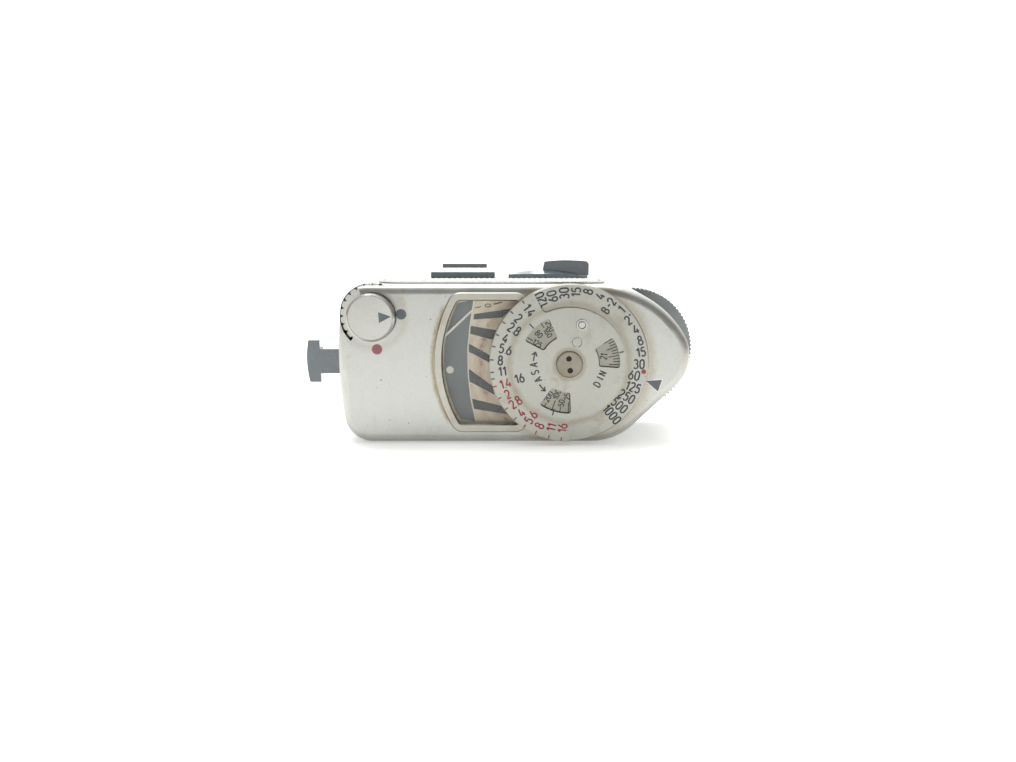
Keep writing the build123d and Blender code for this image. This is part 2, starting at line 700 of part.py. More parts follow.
HUB_THREAD_R = 0.9
HUB_THREAD = 2.5
DIAL_SHAFT_END = HOUSING_DEPTH - 0.2
BASE_POST_FRONT = GEAR_BACK + 0.4
with BuildPart() as dial_shaft:
    with BuildSketch(face(GEAR_FRONT)):
        with Locations(dial_at):
            Circle(DIAL_SHAFT_R)
    extrude(amount=GEAR_FRONT - SHAFT_TOP)
    with BuildSketch(face(GEAR_BACK)):
        with Locations(dial_at):
            Circle(GEAR_SEAT_R)
    extrude(amount=GEAR_T)
    with BuildSketch(face(DIAL_SHAFT_END)):
        with Locations(dial_at):
            Circle(PIVOT_R)
    extrude(amount=DIAL_SHAFT_END - GEAR_BACK)
    with BuildSketch(face(SHAFT_TOP + HUB_THREAD)):
        with Locations(dial_at):
            Circle(HUB_THREAD_R)
    extrude(amount=HUB_THREAD, mode=Mode.SUBTRACT)
finish(dial_shaft.part, "dial_shaft")

with BuildPart() as dial_gear:
    with BuildSketch(face(GEAR_BACK)):
        add(gear_outline(DIAL_TEETH, dial_at, axis_deg, GEAR_SEAT_R))
    extrude(amount=GEAR_T)
finish(dial_gear.part, "dial_gear")

RIM_CHAMFER = 0.25

with BuildPart() as shutter_ring:
    with BuildSketch(face(-DIAL_GAP)):
        with Locations(dial_at):
            Circle(DIAL_R)
            Circle(DIAL_SHAFT_R, mode=Mode.SUBTRACT)
    extrude(amount=RING_T)
    rim_edge = shutter_ring.faces().sort_by(Axis.Y)[0].outer_wire().edges()
    chamfer(rim_edge, RIM_CHAMFER)
finish(shutter_ring.part, "shutter_ring")

with BuildPart() as film_speed_disc:
    with BuildSketch(face(RING_FRONT)):
        with Locations(dial_at):
            Circle(FILM_R)
            Circle(DIAL_SHAFT_R, mode=Mode.SUBTRACT)
    extrude(amount=FILM_T)
finish(film_speed_disc.part, "film_speed_disc")


def arc_window(r_in, r_out, from_deg, to_deg):
    """Window cut along an arc about the dial centre, with rounded corners."""
    with BuildSketch() as outline:
        with BuildLine():
            arc_out = CenterArc(dial_at, r_out, from_deg, to_deg - from_deg)
            arc_in = CenterArc(dial_at, r_in, from_deg, to_deg - from_deg)
            Line(arc_out @ 0, arc_in @ 0)
            Line(arc_out @ 1, arc_in @ 1)
        make_face()
        fillet(outline.vertices(), WINDOW_FILLET)
    return outline.sketch


WINDOW_FILLET = 0.5
BOSS_TURN = 1.6
BOSS_WALL = 0.25
BOSS_RISE = 0.08
arc_windows = [(5.9, 10.35, 114.5, 152.0), (5.9, 10.35, 234.4, 272.5), (6.0, 10.3, -4.5, 32.5)]
with BuildPart() as aperture_plate:
    with BuildSketch(face(PLATE_BACK)) as plate_sketch:
        with BuildLine():
            sweep_deg = SECTOR_TO - SECTOR_FROM
            outer = CenterArc(dial_at, DIAL_R, SECTOR_FROM, sweep_deg)
            inner = CenterArc(dial_at, PLATE_R, SECTOR_TO, 360 - sweep_deg)
            Line(outer @ 1, inner @ 0)
            Line(outer @ 0, inner @ 1)
        make_face()
        notches = plate_sketch.vertices().sort_by_distance(dial_at)[:2]
        fillet(notches, SECTOR_NOTCH)
        with Locations(dial_at):
            Circle(DIAL_SHAFT_R + RUN, mode=Mode.SUBTRACT)
        with Locations(polar(*dial_at, LOCK_AT_R, LOCK_DEG)):
            Circle(LOCK_R + RUN, mode=Mode.SUBTRACT)
        for opening in arc_windows:
            add(arc_window(*opening), mode=Mode.SUBTRACT)
    extrude(amount=PLATE_T)
    with BuildSketch(face(PLATE_FRONT)):
        with Locations(polar(*dial_at, BOSS_AT_R, LOCK_DEG - BOSS_TURN)):
            Circle(BOSS_R)
            Circle(BOSS_R - BOSS_WALL, mode=Mode.SUBTRACT)
    extrude(amount=BOSS_RISE)
finish(aperture_plate.part, "aperture_plate")

LOCK_DISH = 0.15         # ring-shaped hollow around the pin's raised middle
LOCK_RIM = 0.25
lock_at = polar(*dial_at, LOCK_AT_R, LOCK_DEG)
with BuildPart() as lock_pin:
    with BuildSketch(face(PLATE_BACK - LOCK_STROKE)):
        with Locations(lock_at):
            Circle(LOCK_R)
    extrude(amount=PLATE_BACK - LOCK_STROKE - PLATE_FRONT + LOCK_PROUD)
    with BuildSketch(face(PLATE_FRONT - LOCK_PROUD)):
        with Locations(lock_at):
            Circle(LOCK_R - LOCK_RIM)
            Circle(LOCK_CAP_R, mode=Mode.SUBTRACT)
    extrude(amount=-LOCK_DISH, mode=Mode.SUBTRACT)
finish(lock_pin.part, "lock_pin")

with BuildPart() as hub_screw:
    with BuildSketch(face(SHAFT_TOP)):
        with Locations(dial_at):
            Circle(HUB_R)
    extrude(amount=HUB_T)
    chamfer(hub_screw.faces().sort_by(Axis.Y)[0].edges(), RIM_CHAMFER / 2)
    with BuildSketch(face(SHAFT_TOP + HUB_THREAD)):
        with Locations(dial_at):
            Circle(HUB_THREAD_R)
    extrude(amount=HUB_THREAD)
    with BuildSketch(face(HUB_FRONT)):
        with Locations(
            polar(*dial_at, SPANNER_OFF, SPANNER_DEG),
            polar(*dial_at, SPANNER_OFF, SPANNER_DEG + 180),
        ):
            Circle(SPANNER_R)
    extrude(amount=-HUB_T, mode=Mode.SUBTRACT)
finish(hub_screw.part, "hub_screw")

# ---- idler and coupling to the camera ----
with BuildPart() as idler_gear:
    with BuildSketch(face(GEAR_BACK)):
        idler_step = 360 / IDLER_TEETH
        add(
            gear_outline(
                IDLER_TEETH, idler_at, axis_deg + 180 + idler_step / 2, IDLER_STUD_R + RUN
            )
        )
    extrude(amount=GEAR_T)
finish(idler_gear.part, "idler_gear")

STUD_HEAD_R = 1.6
STUD_HEAD_T = 0.5
with BuildPart() as idler_stud:
    with BuildSketch(face(GEAR_BACK + 0.2)):
        with Locations(idler_at):
            Circle(IDLER_STUD_R)
    extrude(amount=GEAR_BACK + 0.2 - PIVOT_POST_BACK + PIVOT_DEEP)
    with BuildSketch(face(GEAR_BACK + 0.2 + STUD_HEAD_T)):
        with Locations(idler_at):
            Circle(STUD_HEAD_R)
    extrude(amount=STUD_HEAD_T)
finish(idler_stud.part, "idler_stud")

couple_at = (COUPLE_X, COUPLE_Z)
with BuildPart() as coupling_gear:
    with BuildSketch(face(GEAR_BACK)):
        add(gear_outline(DIAL_TEETH, couple_at, axis_deg + 180, GEAR_SEAT_R))
    extrude(amount=GEAR_T)
finish(coupling_gear.part, "coupling_gear")

COUPLE_FRONT = BODY_DEPTH + COUPLE_GAP
with BuildPart() as coupling_shaft:
    with BuildSketch(face(COUPLE_BACK)):
        with Locations(couple_at):
            Circle(DIAL_SHAFT_R)
    extrude(amount=COUPLE_BACK - GEAR_BACK)
    with BuildSketch(face(GEAR_BACK)):
        with Locations(couple_at):
            Circle(GEAR_SEAT_R)
    extrude(amount=GEAR_T)
    with BuildSketch(face(GEAR_FRONT)):
        with Locations(couple_at):
            Circle(PIVOT_R)
    extrude(amount=GEAR_FRONT - PIVOT_POST_BACK + PIVOT_DEEP - 0.2)
    with BuildSketch(face(COUPLE_BACK)):
        with Locations(couple_at):
            Circle(HUB_THREAD_R)
    extrude(amount=HUB_THREAD, mode=Mode.SUBTRACT)
finish(coupling_shaft.part, "coupling_shaft")

RECESS_R = 11.4
RECESS_T = 0.6
with BuildPart() as coupling_disc:
    with BuildSketch(face(COUPLE_BACK)):
        with Locations(couple_at):
            Circle(COUPLE_R)
            with PolarLocations(COUPLE_R, COUPLE_RIBS):
                Rectangle(2 * RIB_H, 2 * RIB_H)
            Circle(DIAL_SHAFT_R, mode=Mode.SUBTRACT)
    extrude(amount=COUPLE_T)
    with BuildSketch(face(COUPLE_FRONT + RECESS_T)):
        with Locations(couple_at):
            Circle(RECESS_R)
            Circle(DIAL_SHAFT_R + 1.5, mode=Mode.SUBTRACT)
    extrude(amount=RECESS_T, mode=Mode.SUBTRACT)
    with BuildSketch(face(COUPLE_BACK)):
        with Locations(polar(*couple_at, PIN_AT_R, 90)):
            Circle(PIN_R * 0.7)
    extrude(amount=COUPLE_T, mode=Mode.SUBTRACT)
finish(coupling_disc.part, "coupling_disc")

with BuildPart() as coupling_pin:
    with BuildSketch(face(COUPLE_BACK)):
        with Locations(polar(*couple_at, PIN_AT_R, 90)):
            Circle(PIN_R * 0.7)
    extrude(amount=COUPLE_T - RECESS_T)
    with BuildSketch(face(COUPLE_BACK + PIN_LEN)):
        with Locations(polar(*couple_at, PIN_AT_R, 90)):
            Circle(PIN_R)
    extrude(amount=PIN_LEN)
finish(coupling_pin.part, "coupling_pin")

with BuildPart() as coupling_screw:
    with BuildSketch(face(COUPLE_BACK + HUB_T)):
        with Locations(couple_at):
            Circle(HUB_R + 0.4)
    extrude(amount=HUB_T)
    with BuildSketch(face(COUPLE_BACK)):
        with Locations(couple_at):
            Circle(HUB_THREAD_R)
    extrude(amount=HUB_THREAD)
    with BuildSketch(face(COUPLE_BACK + HUB_T)):
        with Locations(couple_at):
            Rectangle(2 * HUB_R, SPANNER_R)
    extrude(amount=HUB_T / 2, mode=Mode.SUBTRACT)
finish(coupling_screw.part, "coupling_screw")

# ---- release key, guard plate and sliding tab ----
KEY_SEAM = 0.15
KEY_DEPTH = HOUSING_DEPTH + KEY_SEAM + KEY_W / 2
KEY_BOTTOM = BODY_H - SIDE_WALL - 2.0
KEY_SHOULDER = 0.8
KEY_SHOULDER_H = 0.9
KEY_FLOOR = KEY_BOTTOM - KEY_STROKE - 0.2
SPRING_R = 1.0
SPRING_WIRE = 0.25
SPRING_TURNS = 4
SPRING_BOTTOM = KEY_FLOOR - 3.6
LIP_LEFT = 2.4
LIP_RIGHT = 1.8
LIP_W = 0.6
key_mid = (KEY_LEFT + KEY_RIGHT) / 2
key_len = KEY_RIGHT - KEY_LEFT
BLOCK_SIDE = 1.7
BLOCK_BOTTOM = SPRING_BOTTOM - 1.2

with BuildPart() as release_key:
    with BuildSketch(level(KEY_BOTTOM)):
        with Locations((key_mid, KEY_DEPTH)):
            Rectangle(key_len, KEY_W)
    extrude(amount=BODY_H + KEY_BAND - KEY_BOTTOM)
    with BuildSketch(level(BODY_H + KEY_BAND)):
        with Locations((key_mid, KEY_DEPTH)):
            Rectangle(key_len, KEY_W)
    with BuildSketch(level(BODY_H + KEY_BAND + KEY_BEVEL)):
        with Locations((key_mid, KEY_DEPTH + KEY_SLOPE / 2)):
            Rectangle(key_len - 2 * KEY_END, KEY_W - KEY_SLOPE)
    loft()
    with BuildSketch(level(BODY_H + KEY_BAND + KEY_BEVEL)):
        with Locations((key_mid + (LIP_LEFT - LIP_RIGHT) / 2, KEY_DEPTH + KEY_W / 2 - LIP_W / 2)):
            Rectangle(key_len - LIP_LEFT - LIP_RIGHT, LIP_W)
    extrude(amount=KEY_LIP)
    with BuildSketch(level(KEY_BOTTOM)):
        with Locations((key_mid, KEY_DEPTH)):
            Rectangle(key_len + 2 * KEY_SHOULDER, KEY_W)
    extrude(amount=KEY_SHOULDER_H)
finish(release_key.part, "release_key")

with BuildPart() as key_spring:
    spring_h = KEY_BOTTOM - SPRING_BOTTOM - SPRING_WIRE
    with BuildLine(level(SPRING_BOTTOM + SPRING_WIRE / 2)) as coil_path:
        Helix(
            pitch=spring_h / SPRING_TURNS,
            height=spring_h,
            radius=SPRING_R - SPRING_WIRE / 2,
            center=(0, 0, 0),
        )
    coil_start = coil_path.edges()[0]
    with BuildSketch(Plane(origin=coil_start @ 0, z_dir=coil_start % 0)):
        Circle(SPRING_WIRE / 2)
    sweep(path=coil_start)
spring_at = Pos(key_mid, KEY_DEPTH, 0)
finish(spring_at * key_spring.part, "key_spring")

with BuildPart() as guard_plate:
    guard_mid_x = (GUARD_LEFT + GUARD_RIGHT) / 2
    for depth, rise in ((GUARD_BACK, GUARD_DOME), (GUARD_BACK - GUARD_T, GUARD_BOW)):
        with BuildSketch(face(depth)):
            with BuildLine():
                Line((GUARD_LEFT, BODY_H), (GUARD_RIGHT, BODY_H))
                Line((GUARD_RIGHT, BODY_H), (GUARD_RIGHT, BODY_H + GUARD_BAND))
                ThreePointArc(
                    (GUARD_RIGHT, BODY_H + GUARD_BAND),
                    (guard_mid_x, BODY_H + GUARD_BAND + rise),
                    (GUARD_LEFT, BODY_H + GUARD_BAND),
                )
                Line((GUARD_LEFT, BODY_H + GUARD_BAND), (GUARD_LEFT, BODY_H))
            make_face()
    loft()
    with BuildSketch(level(BODY_H)):
        with Locations(*guard_pegs):
            Circle(GUARD_PEG_R)
    extrude(amount=-SIDE_WALL)
finish(guard_plate.part, "guard_plate")

SLIDE_DEPTH = KEY_DEPTH
SLIDE_NECK_W = 1.0
SLIDE_FOOT_T = 0.9
SLIDE_INSET = 0.25
slide_mid = (TAB_LEFT + TAB_RIGHT) / 2
slide_len = TAB_RIGHT - TAB_LEFT - 2 * SLIDE_INSET
with BuildPart() as slide_plate:
    with BuildSketch(level(BODY_H + SLIP)):
        with Locations((slide_mid, SLIDE_DEPTH)):
            Rectangle(slide_len, KEY_W - SLIDE_INSET)
    extrude(amount=SLIDE_T - SLIP)
    with BuildSketch(level(BODY_H + SLIP)):
        with Locations((slide_mid, SLIDE_DEPTH - (KEY_W - SLIDE_INSET) / 2)):
            with GridLocations(slide_len / SLIDE_RIBS, 1, SLIDE_RIBS, 1):
                Rectangle(slide_len / SLIDE_RIBS / 2, 2 * SLIDE_INSET)
    extrude(amount=SLIDE_T - SLIP, mode=Mode.SUBTRACT)
    with BuildSketch(level(BODY_H - SIDE_WALL - SLIDE_FOOT_T)):
        with Locations((slide_mid, SLIDE_DEPTH)):
            Rectangle(slide_len - 1, SLIDE_NECK_W)
    extrude(amount=SIDE_WALL + SLIDE_FOOT_T + SLIP)
    with BuildSketch(level(BODY_H - SIDE_WALL - SLIDE_FOOT_T)):
        with Locations((slide_mid, SLIDE_DEPTH)):
            Rectangle(slide_len - 1, 2 * SLIDE_NECK_W)
    extrude(amount=SLIDE_FOOT_T - SLIP)
finish(slide_plate.part, "slide_plate")

TAB_CORNER = 0.9
TAB_SLANT = 0.6
TAB_ROUND = 0.35
with BuildPart() as slide_tab:
    with BuildSketch(face(SLIDE_DEPTH + KEY_W / 2)):
        with BuildLine():
            tab_base = BODY_H + SLIDE_T
            Line((TAB_LEFT, tab_base), (TAB_RIGHT, tab_base))
            Line((TAB_RIGHT, tab_base), (TAB_RIGHT, tab_base + TAB_H))
            ThreePointArc(
                (TAB_RIGHT, tab_base + TAB_H),
                (slide_mid, tab_base + TAB_H + TAB_CROWN),
                (TAB_LEFT + TAB_SLANT, tab_base + TAB_H),
            )
            Line((TAB_LEFT + TAB_SLANT, tab_base + TAB_H), (TAB_LEFT, tab_base))
        tab_face = make_face()
        tab_top = tab_face.vertices().sort_by(Axis.Y)[-2:]
        fillet(tab_top.sort_by(Axis.X)[-1], TAB_CORNER)
        fillet(tab_top.sort_by(Axis.X)[0], TAB_ROUND)
    extrude(amount=KEY_W)
    tab_front = slide_tab.faces().sort_by(Axis.Y)[0]
    fillet(tab_front.edges().sort_by(Axis.Z)[1:], TAB_ROUND / 2)
finish(slide_tab.part, "slide_tab")

# ---- black base tray ----
with BuildPart() as base_plate:
    with BuildSketch(face(BODY_DEPTH)):
        add(body_outline.sketch)
    extrude(amount=BASE_DEPTH)
    chamfer(base_plate.faces().sort_by(Axis.Y)[-1].edges(), BASE_ROUND)
    with BuildSketch(face(BODY_DEPTH - BASE_FLOOR)):
        add(inner_outline.sketch)
    extrude(amount=BASE_DEPTH - BASE_FLOOR, mode=Mode.SUBTRACT)
    with BuildSketch(face(BODY_DEPTH - BASE_FLOOR)):
        with Locations(*base_screws):
            Circle(SCREW_POST_R)
        with Locations((DIAL_X, DIAL_Z), (COUPLE_X, COUPLE_Z)):
            Circle(DIAL_SHAFT_R + 1.2)
        with Locations((key_mid, (BLOCK_BOTTOM + BODY_H - SIDE_WALL) / 2)):
            Rectangle(key_len + 2 * BLOCK_SIDE, BODY_H - SIDE_WALL - BLOCK_BOTTOM)
        with Locations((slide_mid + SLIDE_TRAVEL / 2, BODY_H - SIDE_WALL - 1)):
            Rectangle(slide_len + SLIDE_TRAVEL + 2, 2)
    extrude(amount=BASE_DEPTH - BASE_FLOOR)
    with BuildSketch(face(HOUSING_DEPTH)):
        with Locations((DIAL_X, DIAL_Z)):
            Circle(DIAL_SHAFT_R + 0.6)
    extrude(amount=HOUSING_DEPTH - BASE_POST_FRONT)
    # Bearings of the two shafts.
    with BuildSketch(face(HOUSING_DEPTH)):
        with Locations((DIAL_X, DIAL_Z)):
            Circle(PIVOT_R + RUN)
    extrude(amount=HOUSING_DEPTH - BASE_POST_FRONT, mode=Mode.SUBTRACT)
    with BuildSketch(face(BODY_DEPTH)):
        with Locations((COUPLE_X, COUPLE_Z)):
            Circle(DIAL_SHAFT_R + RUN)
    extrude(amount=BASE_DEPTH, mode=Mode.SUBTRACT)
    # Release key pocket, its shoulders and its spring well.
    with BuildSketch(level(KEY_FLOOR)):
        with Locations((key_mid, KEY_DEPTH)):
            Rectangle(key_len + 2 * SLIP, KEY_W + 2 * SLIP)
    extrude(amount=BODY_H - KEY_FLOOR + 1, mode=Mode.SUBTRACT)
    with BuildSketch(level(KEY_FLOOR)):
        with Locations((key_mid, KEY_DEPTH)):
            Rectangle(key_len + 2 * (KEY_SHOULDER + SLIP), KEY_W + 2 * SLIP)
    extrude(amount=KEY_BOTTOM + KEY_SHOULDER_H + SLIP - KEY_FLOOR, mode=Mode.SUBTRACT)
    with BuildSketch(level(SPRING_BOTTOM)):
        with Locations((key_mid, KEY_DEPTH)):
            Circle(SPRING_R + SLIP)
    extrude(amount=KEY_FLOOR - SPRING_BOTTOM, mode=Mode.SUBTRACT)
    # T-groove of the sliding tab.
    with BuildSketch(level(BODY_H - SIDE_WALL - SLIDE_FOOT_T - SLIP)):
        with Locations((slide_mid + SLIDE_TRAVEL / 2, SLIDE_DEPTH)):
            Rectangle(slide_len - 1 + SLIDE_TRAVEL + 2 * SLIP, SLIDE_NECK_W + 2 * SLIP)
    extrude(amount=BODY_H, mode=Mode.SUBTRACT)
    with BuildSketch(level(BODY_H - SIDE_WALL - SLIDE_FOOT_T - SLIP)):
        with Locations((slide_mid + SLIDE_TRAVEL / 2, SLIDE_DEPTH)):
            Rectangle(slide_len - 1 + SLIDE_TRAVEL + 2 * SLIP, 2 * SLIDE_NECK_W + 2 * SLIP)
    extrude(amount=SLIDE_FOOT_T + SLIP, mode=Mode.SUBTRACT)
    # Screw holes.
    with BuildSketch(face(BODY_DEPTH)):
        with Locations(*base_screws):
            Circle(SCREW_R)
    extrude(amount=BASE_DEPTH, mode=Mode.SUBTRACT)
    with BuildSketch(face(BODY_DEPTH)):
        with Locations(*base_screws):
            Circle(SCREW_HEAD_R)
    extrude(amount=SCREW_HEAD_T, mode=Mode.SUBTRACT)
    with BuildSketch(face(BODY_DEPTH)):
        with Locations((FOOT_X, FOOT_Z)):
            with GridLocations(FOOT_NECK_W * 0.55, FOOT_H * 0.5, 2, 2):
                Circle(SCREW_R)
    extrude(amount=BASE_FLOOR, mode=Mode.SUBTRACT)
finish(base_plate.part, "base_plate")

for number, at in enumerate(base_screws, start=1):
    with BuildPart() as base_screw:
        with BuildSketch(face(BODY_DEPTH)):
            with Locations(at):
                Circle(SCREW_HEAD_R)
        extrude(amount=SCREW_HEAD_T)
        with BuildSketch(face(BODY_DEPTH)):
            with Locations(at):
                Circle(SCREW_R)
        extrude(amount=SCREW_LEN)
        with BuildSketch(face(BODY_DEPTH)):
            with Locations(Location(at, 30.0 * number)):
                Rectangle(2 * SCREW_HEAD_R, 0.3)
        extrude(amount=SCREW_HEAD_T / 2, mode=Mode.SUBTRACT)
    finish(base_screw.part, f"base_screw_{number}")

# ---- rail on the left end ----
RAIL_FLANGE_T = 1.0
RAIL_FLANGE_X = BODY_LEFT + SIDE_WALL - 0.9
with BuildPart() as booster_rail:
    with BuildSketch(face(RAIL_DEPTH + RAIL_T / 2)):
        with BuildLine():
            head_low = (-RAIL_NECK_END, RAIL_Z - RAIL_HEAD_H / 2)
            head_high = (-RAIL_NECK_END, RAIL_Z + RAIL_HEAD_H / 2)
            outer_low = (RAIL_BOW - RAIL_END, RAIL_Z - RAIL_HEAD_H / 2)
            outer_high = (RAIL_BOW - RAIL_END, RAIL_Z + RAIL_HEAD_H / 2)
            Line(head_low, head_high)
            Line(head_high, outer_high)
            ThreePointArc(outer_high, (-RAIL_END, RAIL_Z), outer_low)
            Line(outer_low, head_low)
        make_face()
        with Locations(((RAIL_FLANGE_X - RAIL_NECK_END) / 2, RAIL_Z)):
            Rectangle(RAIL_NECK_END + RAIL_FLANGE_X, RAIL_NECK_H)
    extrude(amount=RAIL_T)
    with BuildSketch(face(RAIL_DEPTH + RAIL_T / 2 + 1)):
        with Locations((RAIL_FLANGE_X + RAIL_FLANGE_T / 2, RAIL_Z)):
            Rectangle(RAIL_FLANGE_T, RAIL_NECK_H + 3)
    extrude(amount=RAIL_T + 2)
finish(booster_rail.part, "booster_rail")

# ---- accessory-shoe foot ----
FOOT_EDGE = 0.4
FOOT_HEAD_R = 1.4
with BuildPart() as shoe_foot:
    with BuildSketch(face(BODY_DEPTH + FOOT_NECK_T)):
        with Locations((FOOT_X, FOOT_Z)):
            Rectangle(FOOT_NECK_W, FOOT_H - 2)
    extrude(amount=FOOT_NECK_T)
    with BuildSketch(face(BODY_DEPTH + FOOT_NECK_T + FOOT_T)):
        with Locations((FOOT_X, FOOT_Z)):
            Rectangle(FOOT_W, FOOT_H)
    extrude(amount=FOOT_T)
    chamfer(shoe_foot.faces().sort_by(Axis.Y)[-1].edges(), FOOT_EDGE)
    with BuildSketch(face(BODY_DEPTH + FOOT_NECK_T + FOOT_T)):
        with Locations((FOOT_X, FOOT_Z)):
            with GridLocations(FOOT_NECK_W * 0.55, FOOT_H * 0.5, 2, 2):
                Circle(SCREW_R)
    extrude(amount=FOOT_NECK_T + FOOT_T, mode=Mode.SUBTRACT)
    with BuildSketch(face(BODY_DEPTH + FOOT_NECK_T + FOOT_T)):
        with Locations((FOOT_X, FOOT_Z)):
            with GridLocations(FOOT_NECK_W * 0.55, FOOT_H * 0.5, 2, 2):
                Circle(FOOT_HEAD_R)
    extrude(amount=SCREW_HEAD_T, mode=Mode.SUBTRACT)
finish(shoe_foot.part, "shoe_foot")

foot_screws = [
    (FOOT_X + sx * FOOT_NECK_W * 0.275, FOOT_Z + sz * FOOT_H * 0.25)
    for sx in (-1, 1)
    for sz in (-1, 1)
]
for number, at in enumerate(foot_screws, start=1):
    with BuildPart() as foot_screw:
        with BuildSketch(face(BODY_DEPTH + FOOT_NECK_T + FOOT_T)):
            with Locations(at):
                Circle(FOOT_HEAD_R)
        extrude(amount=SCREW_HEAD_T)
        with BuildSketch(face(BODY_DEPTH + FOOT_NECK_T + FOOT_T)):
            with Locations(at):
                Circle(SCREW_R)
        extrude(amount=FOOT_NECK_T + FOOT_T + BASE_FLOOR)
        with BuildSketch(face(BODY_DEPTH + FOOT_NECK_T + FOOT_T)):
            with Locations(Location(at, 40.0 * number)):
                Rectangle(2 * FOOT_HEAD_R, 0.3)
        extrude(amount=SCREW_HEAD_T / 2, mode=Mode.SUBTRACT)
    finish(foot_screw.part, f"foot_screw_{number}")

SPRING_STRIP_W = 2.2
SPRING_STRIP_T = 0.25
strip_off = (FOOT_NECK_W + FOOT_W) / 4 + 0.2
for name, side in (("foot_spring_left", -1), ("foot_spring_right", 1)):
    with BuildPart() as foot_spring:
        with BuildSketch(face(BODY_DEPTH + FOOT_NECK_T)):
            with Locations((FOOT_X + side * strip_off, FOOT_Z)):
                Rectangle(SPRING_STRIP_W, FOOT_H - 3)
        extrude(amount=SPRING_STRIP_T)
    finish(foot_spring.part, name)
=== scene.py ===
import bpy
import bmesh
import math
from mathutils import Vector, Matrix


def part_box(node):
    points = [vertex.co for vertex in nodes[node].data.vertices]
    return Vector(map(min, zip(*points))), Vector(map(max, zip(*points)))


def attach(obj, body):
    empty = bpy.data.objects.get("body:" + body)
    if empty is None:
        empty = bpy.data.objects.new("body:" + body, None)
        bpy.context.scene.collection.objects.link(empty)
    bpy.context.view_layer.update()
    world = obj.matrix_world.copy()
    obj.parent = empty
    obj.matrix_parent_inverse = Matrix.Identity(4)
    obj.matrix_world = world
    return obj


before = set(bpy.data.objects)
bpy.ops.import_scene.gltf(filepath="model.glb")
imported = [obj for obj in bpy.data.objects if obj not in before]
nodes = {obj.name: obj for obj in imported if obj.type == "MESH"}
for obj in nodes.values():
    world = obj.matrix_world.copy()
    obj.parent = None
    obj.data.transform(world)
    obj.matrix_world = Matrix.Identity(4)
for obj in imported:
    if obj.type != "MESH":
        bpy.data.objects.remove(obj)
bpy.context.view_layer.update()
print("frame loaded:", len(nodes), "nodes")

# where things are on the meter, mm: x to the tip, z up, depth below the face
midX = -1.165
midY = 9.475
mm = 0.001
dial = {"x": 12.46, "z": 17.35}  # centre of the calculator dial
ringFront = -1.6  # negative is proud of the face
filmFront = -1.75
plateFront = -2.15
hubFront = -2.55


def place(x, depth, z):
    return Vector(((x - midX) * mm, (depth - midY) * mm, z * mm))


def onDial(r, deg):
    a = math.radians(deg)
    return dial["x"] + r * math.cos(a), dial["z"] + r * math.sin(a)


def hexToLinear(code):
    parts = [int(code[i:i + 2], 16) / 255 for i in (1, 3, 5)]
    return [p / 12.92 if p <= 0.04045 else ((p + 0.055) / 1.055) ** 2.4 for p in parts] + [1.0]


# materials
def addNode(tree, kind, settings=None, links=None):
    node = tree.nodes.new(kind)
    for key, value in (settings or {}).items():
        if key in node.bl_rna.properties:
            setattr(node, key, value)
        else:
            node.inputs[key].default_value = value
    for key, source in (links or {}).items():
        tree.links.new(source, node.inputs[key])
    return node


def startMaterial(name, **shader):
    mat = bpy.data.materials.new(name)
    mat.use_nodes = True
    tree = mat.node_tree
    bsdf = tree.nodes["Principled BSDF"]
    for key, value in shader.items():
        bsdf.inputs[key.replace("_", " ")].default_value = value
    coords = addNode(tree, "ShaderNodeTexCoord")
    return mat, tree, bsdf, coords.outputs["Object"]


def noiseBand(tree, coords, sizeMm, low, high, detail=4.0, rough=0.6):
    noise = addNode(tree, "ShaderNodeTexNoise", {"Scale": 1000 / sizeMm, "Detail": detail, "Roughness": rough}, {"Vector": coords})
    ramp = addNode(tree, "ShaderNodeMapRange", {"From Min": low, "From Max": high}, {"Value": noise.outputs["Fac"]})
    ramp.clamp = True
    return ramp.outputs["Result"]


def mixColour(tree, factor, a, b, mode="MIX"):
    mix = addNode(tree, "ShaderNodeMix", {"data_type": "RGBA", "blend_type": mode})
    for socket, value in ((mix.inputs[0], factor), (mix.inputs[6], a), (mix.inputs[7], b)):
        if isinstance(value, (int, float, list)):
            socket.default_value = value
        else:
            tree.links.new(value, socket)
    return mix.outputs[2]


def bumpFrom(tree, height, distanceMm, strength, normal=None):
    links = {"Height": height}
    if normal is not None:
        links["Normal"] = normal
    bump = addNode(tree, "ShaderNodeBump", {"Distance": distanceMm * mm, "Strength": strength}, links)
    return bump.outputs["Normal"]


def math2(tree, operation, a, b):
    node = addNode(tree, "ShaderNodeMath", {"operation": operation})
    for socket, value in zip(node.inputs, (a, b)):
        if isinstance(value, (int, float)):
            socket.default_value = value
        else:
            tree.links.new(value, socket)
    return node.outputs[0]


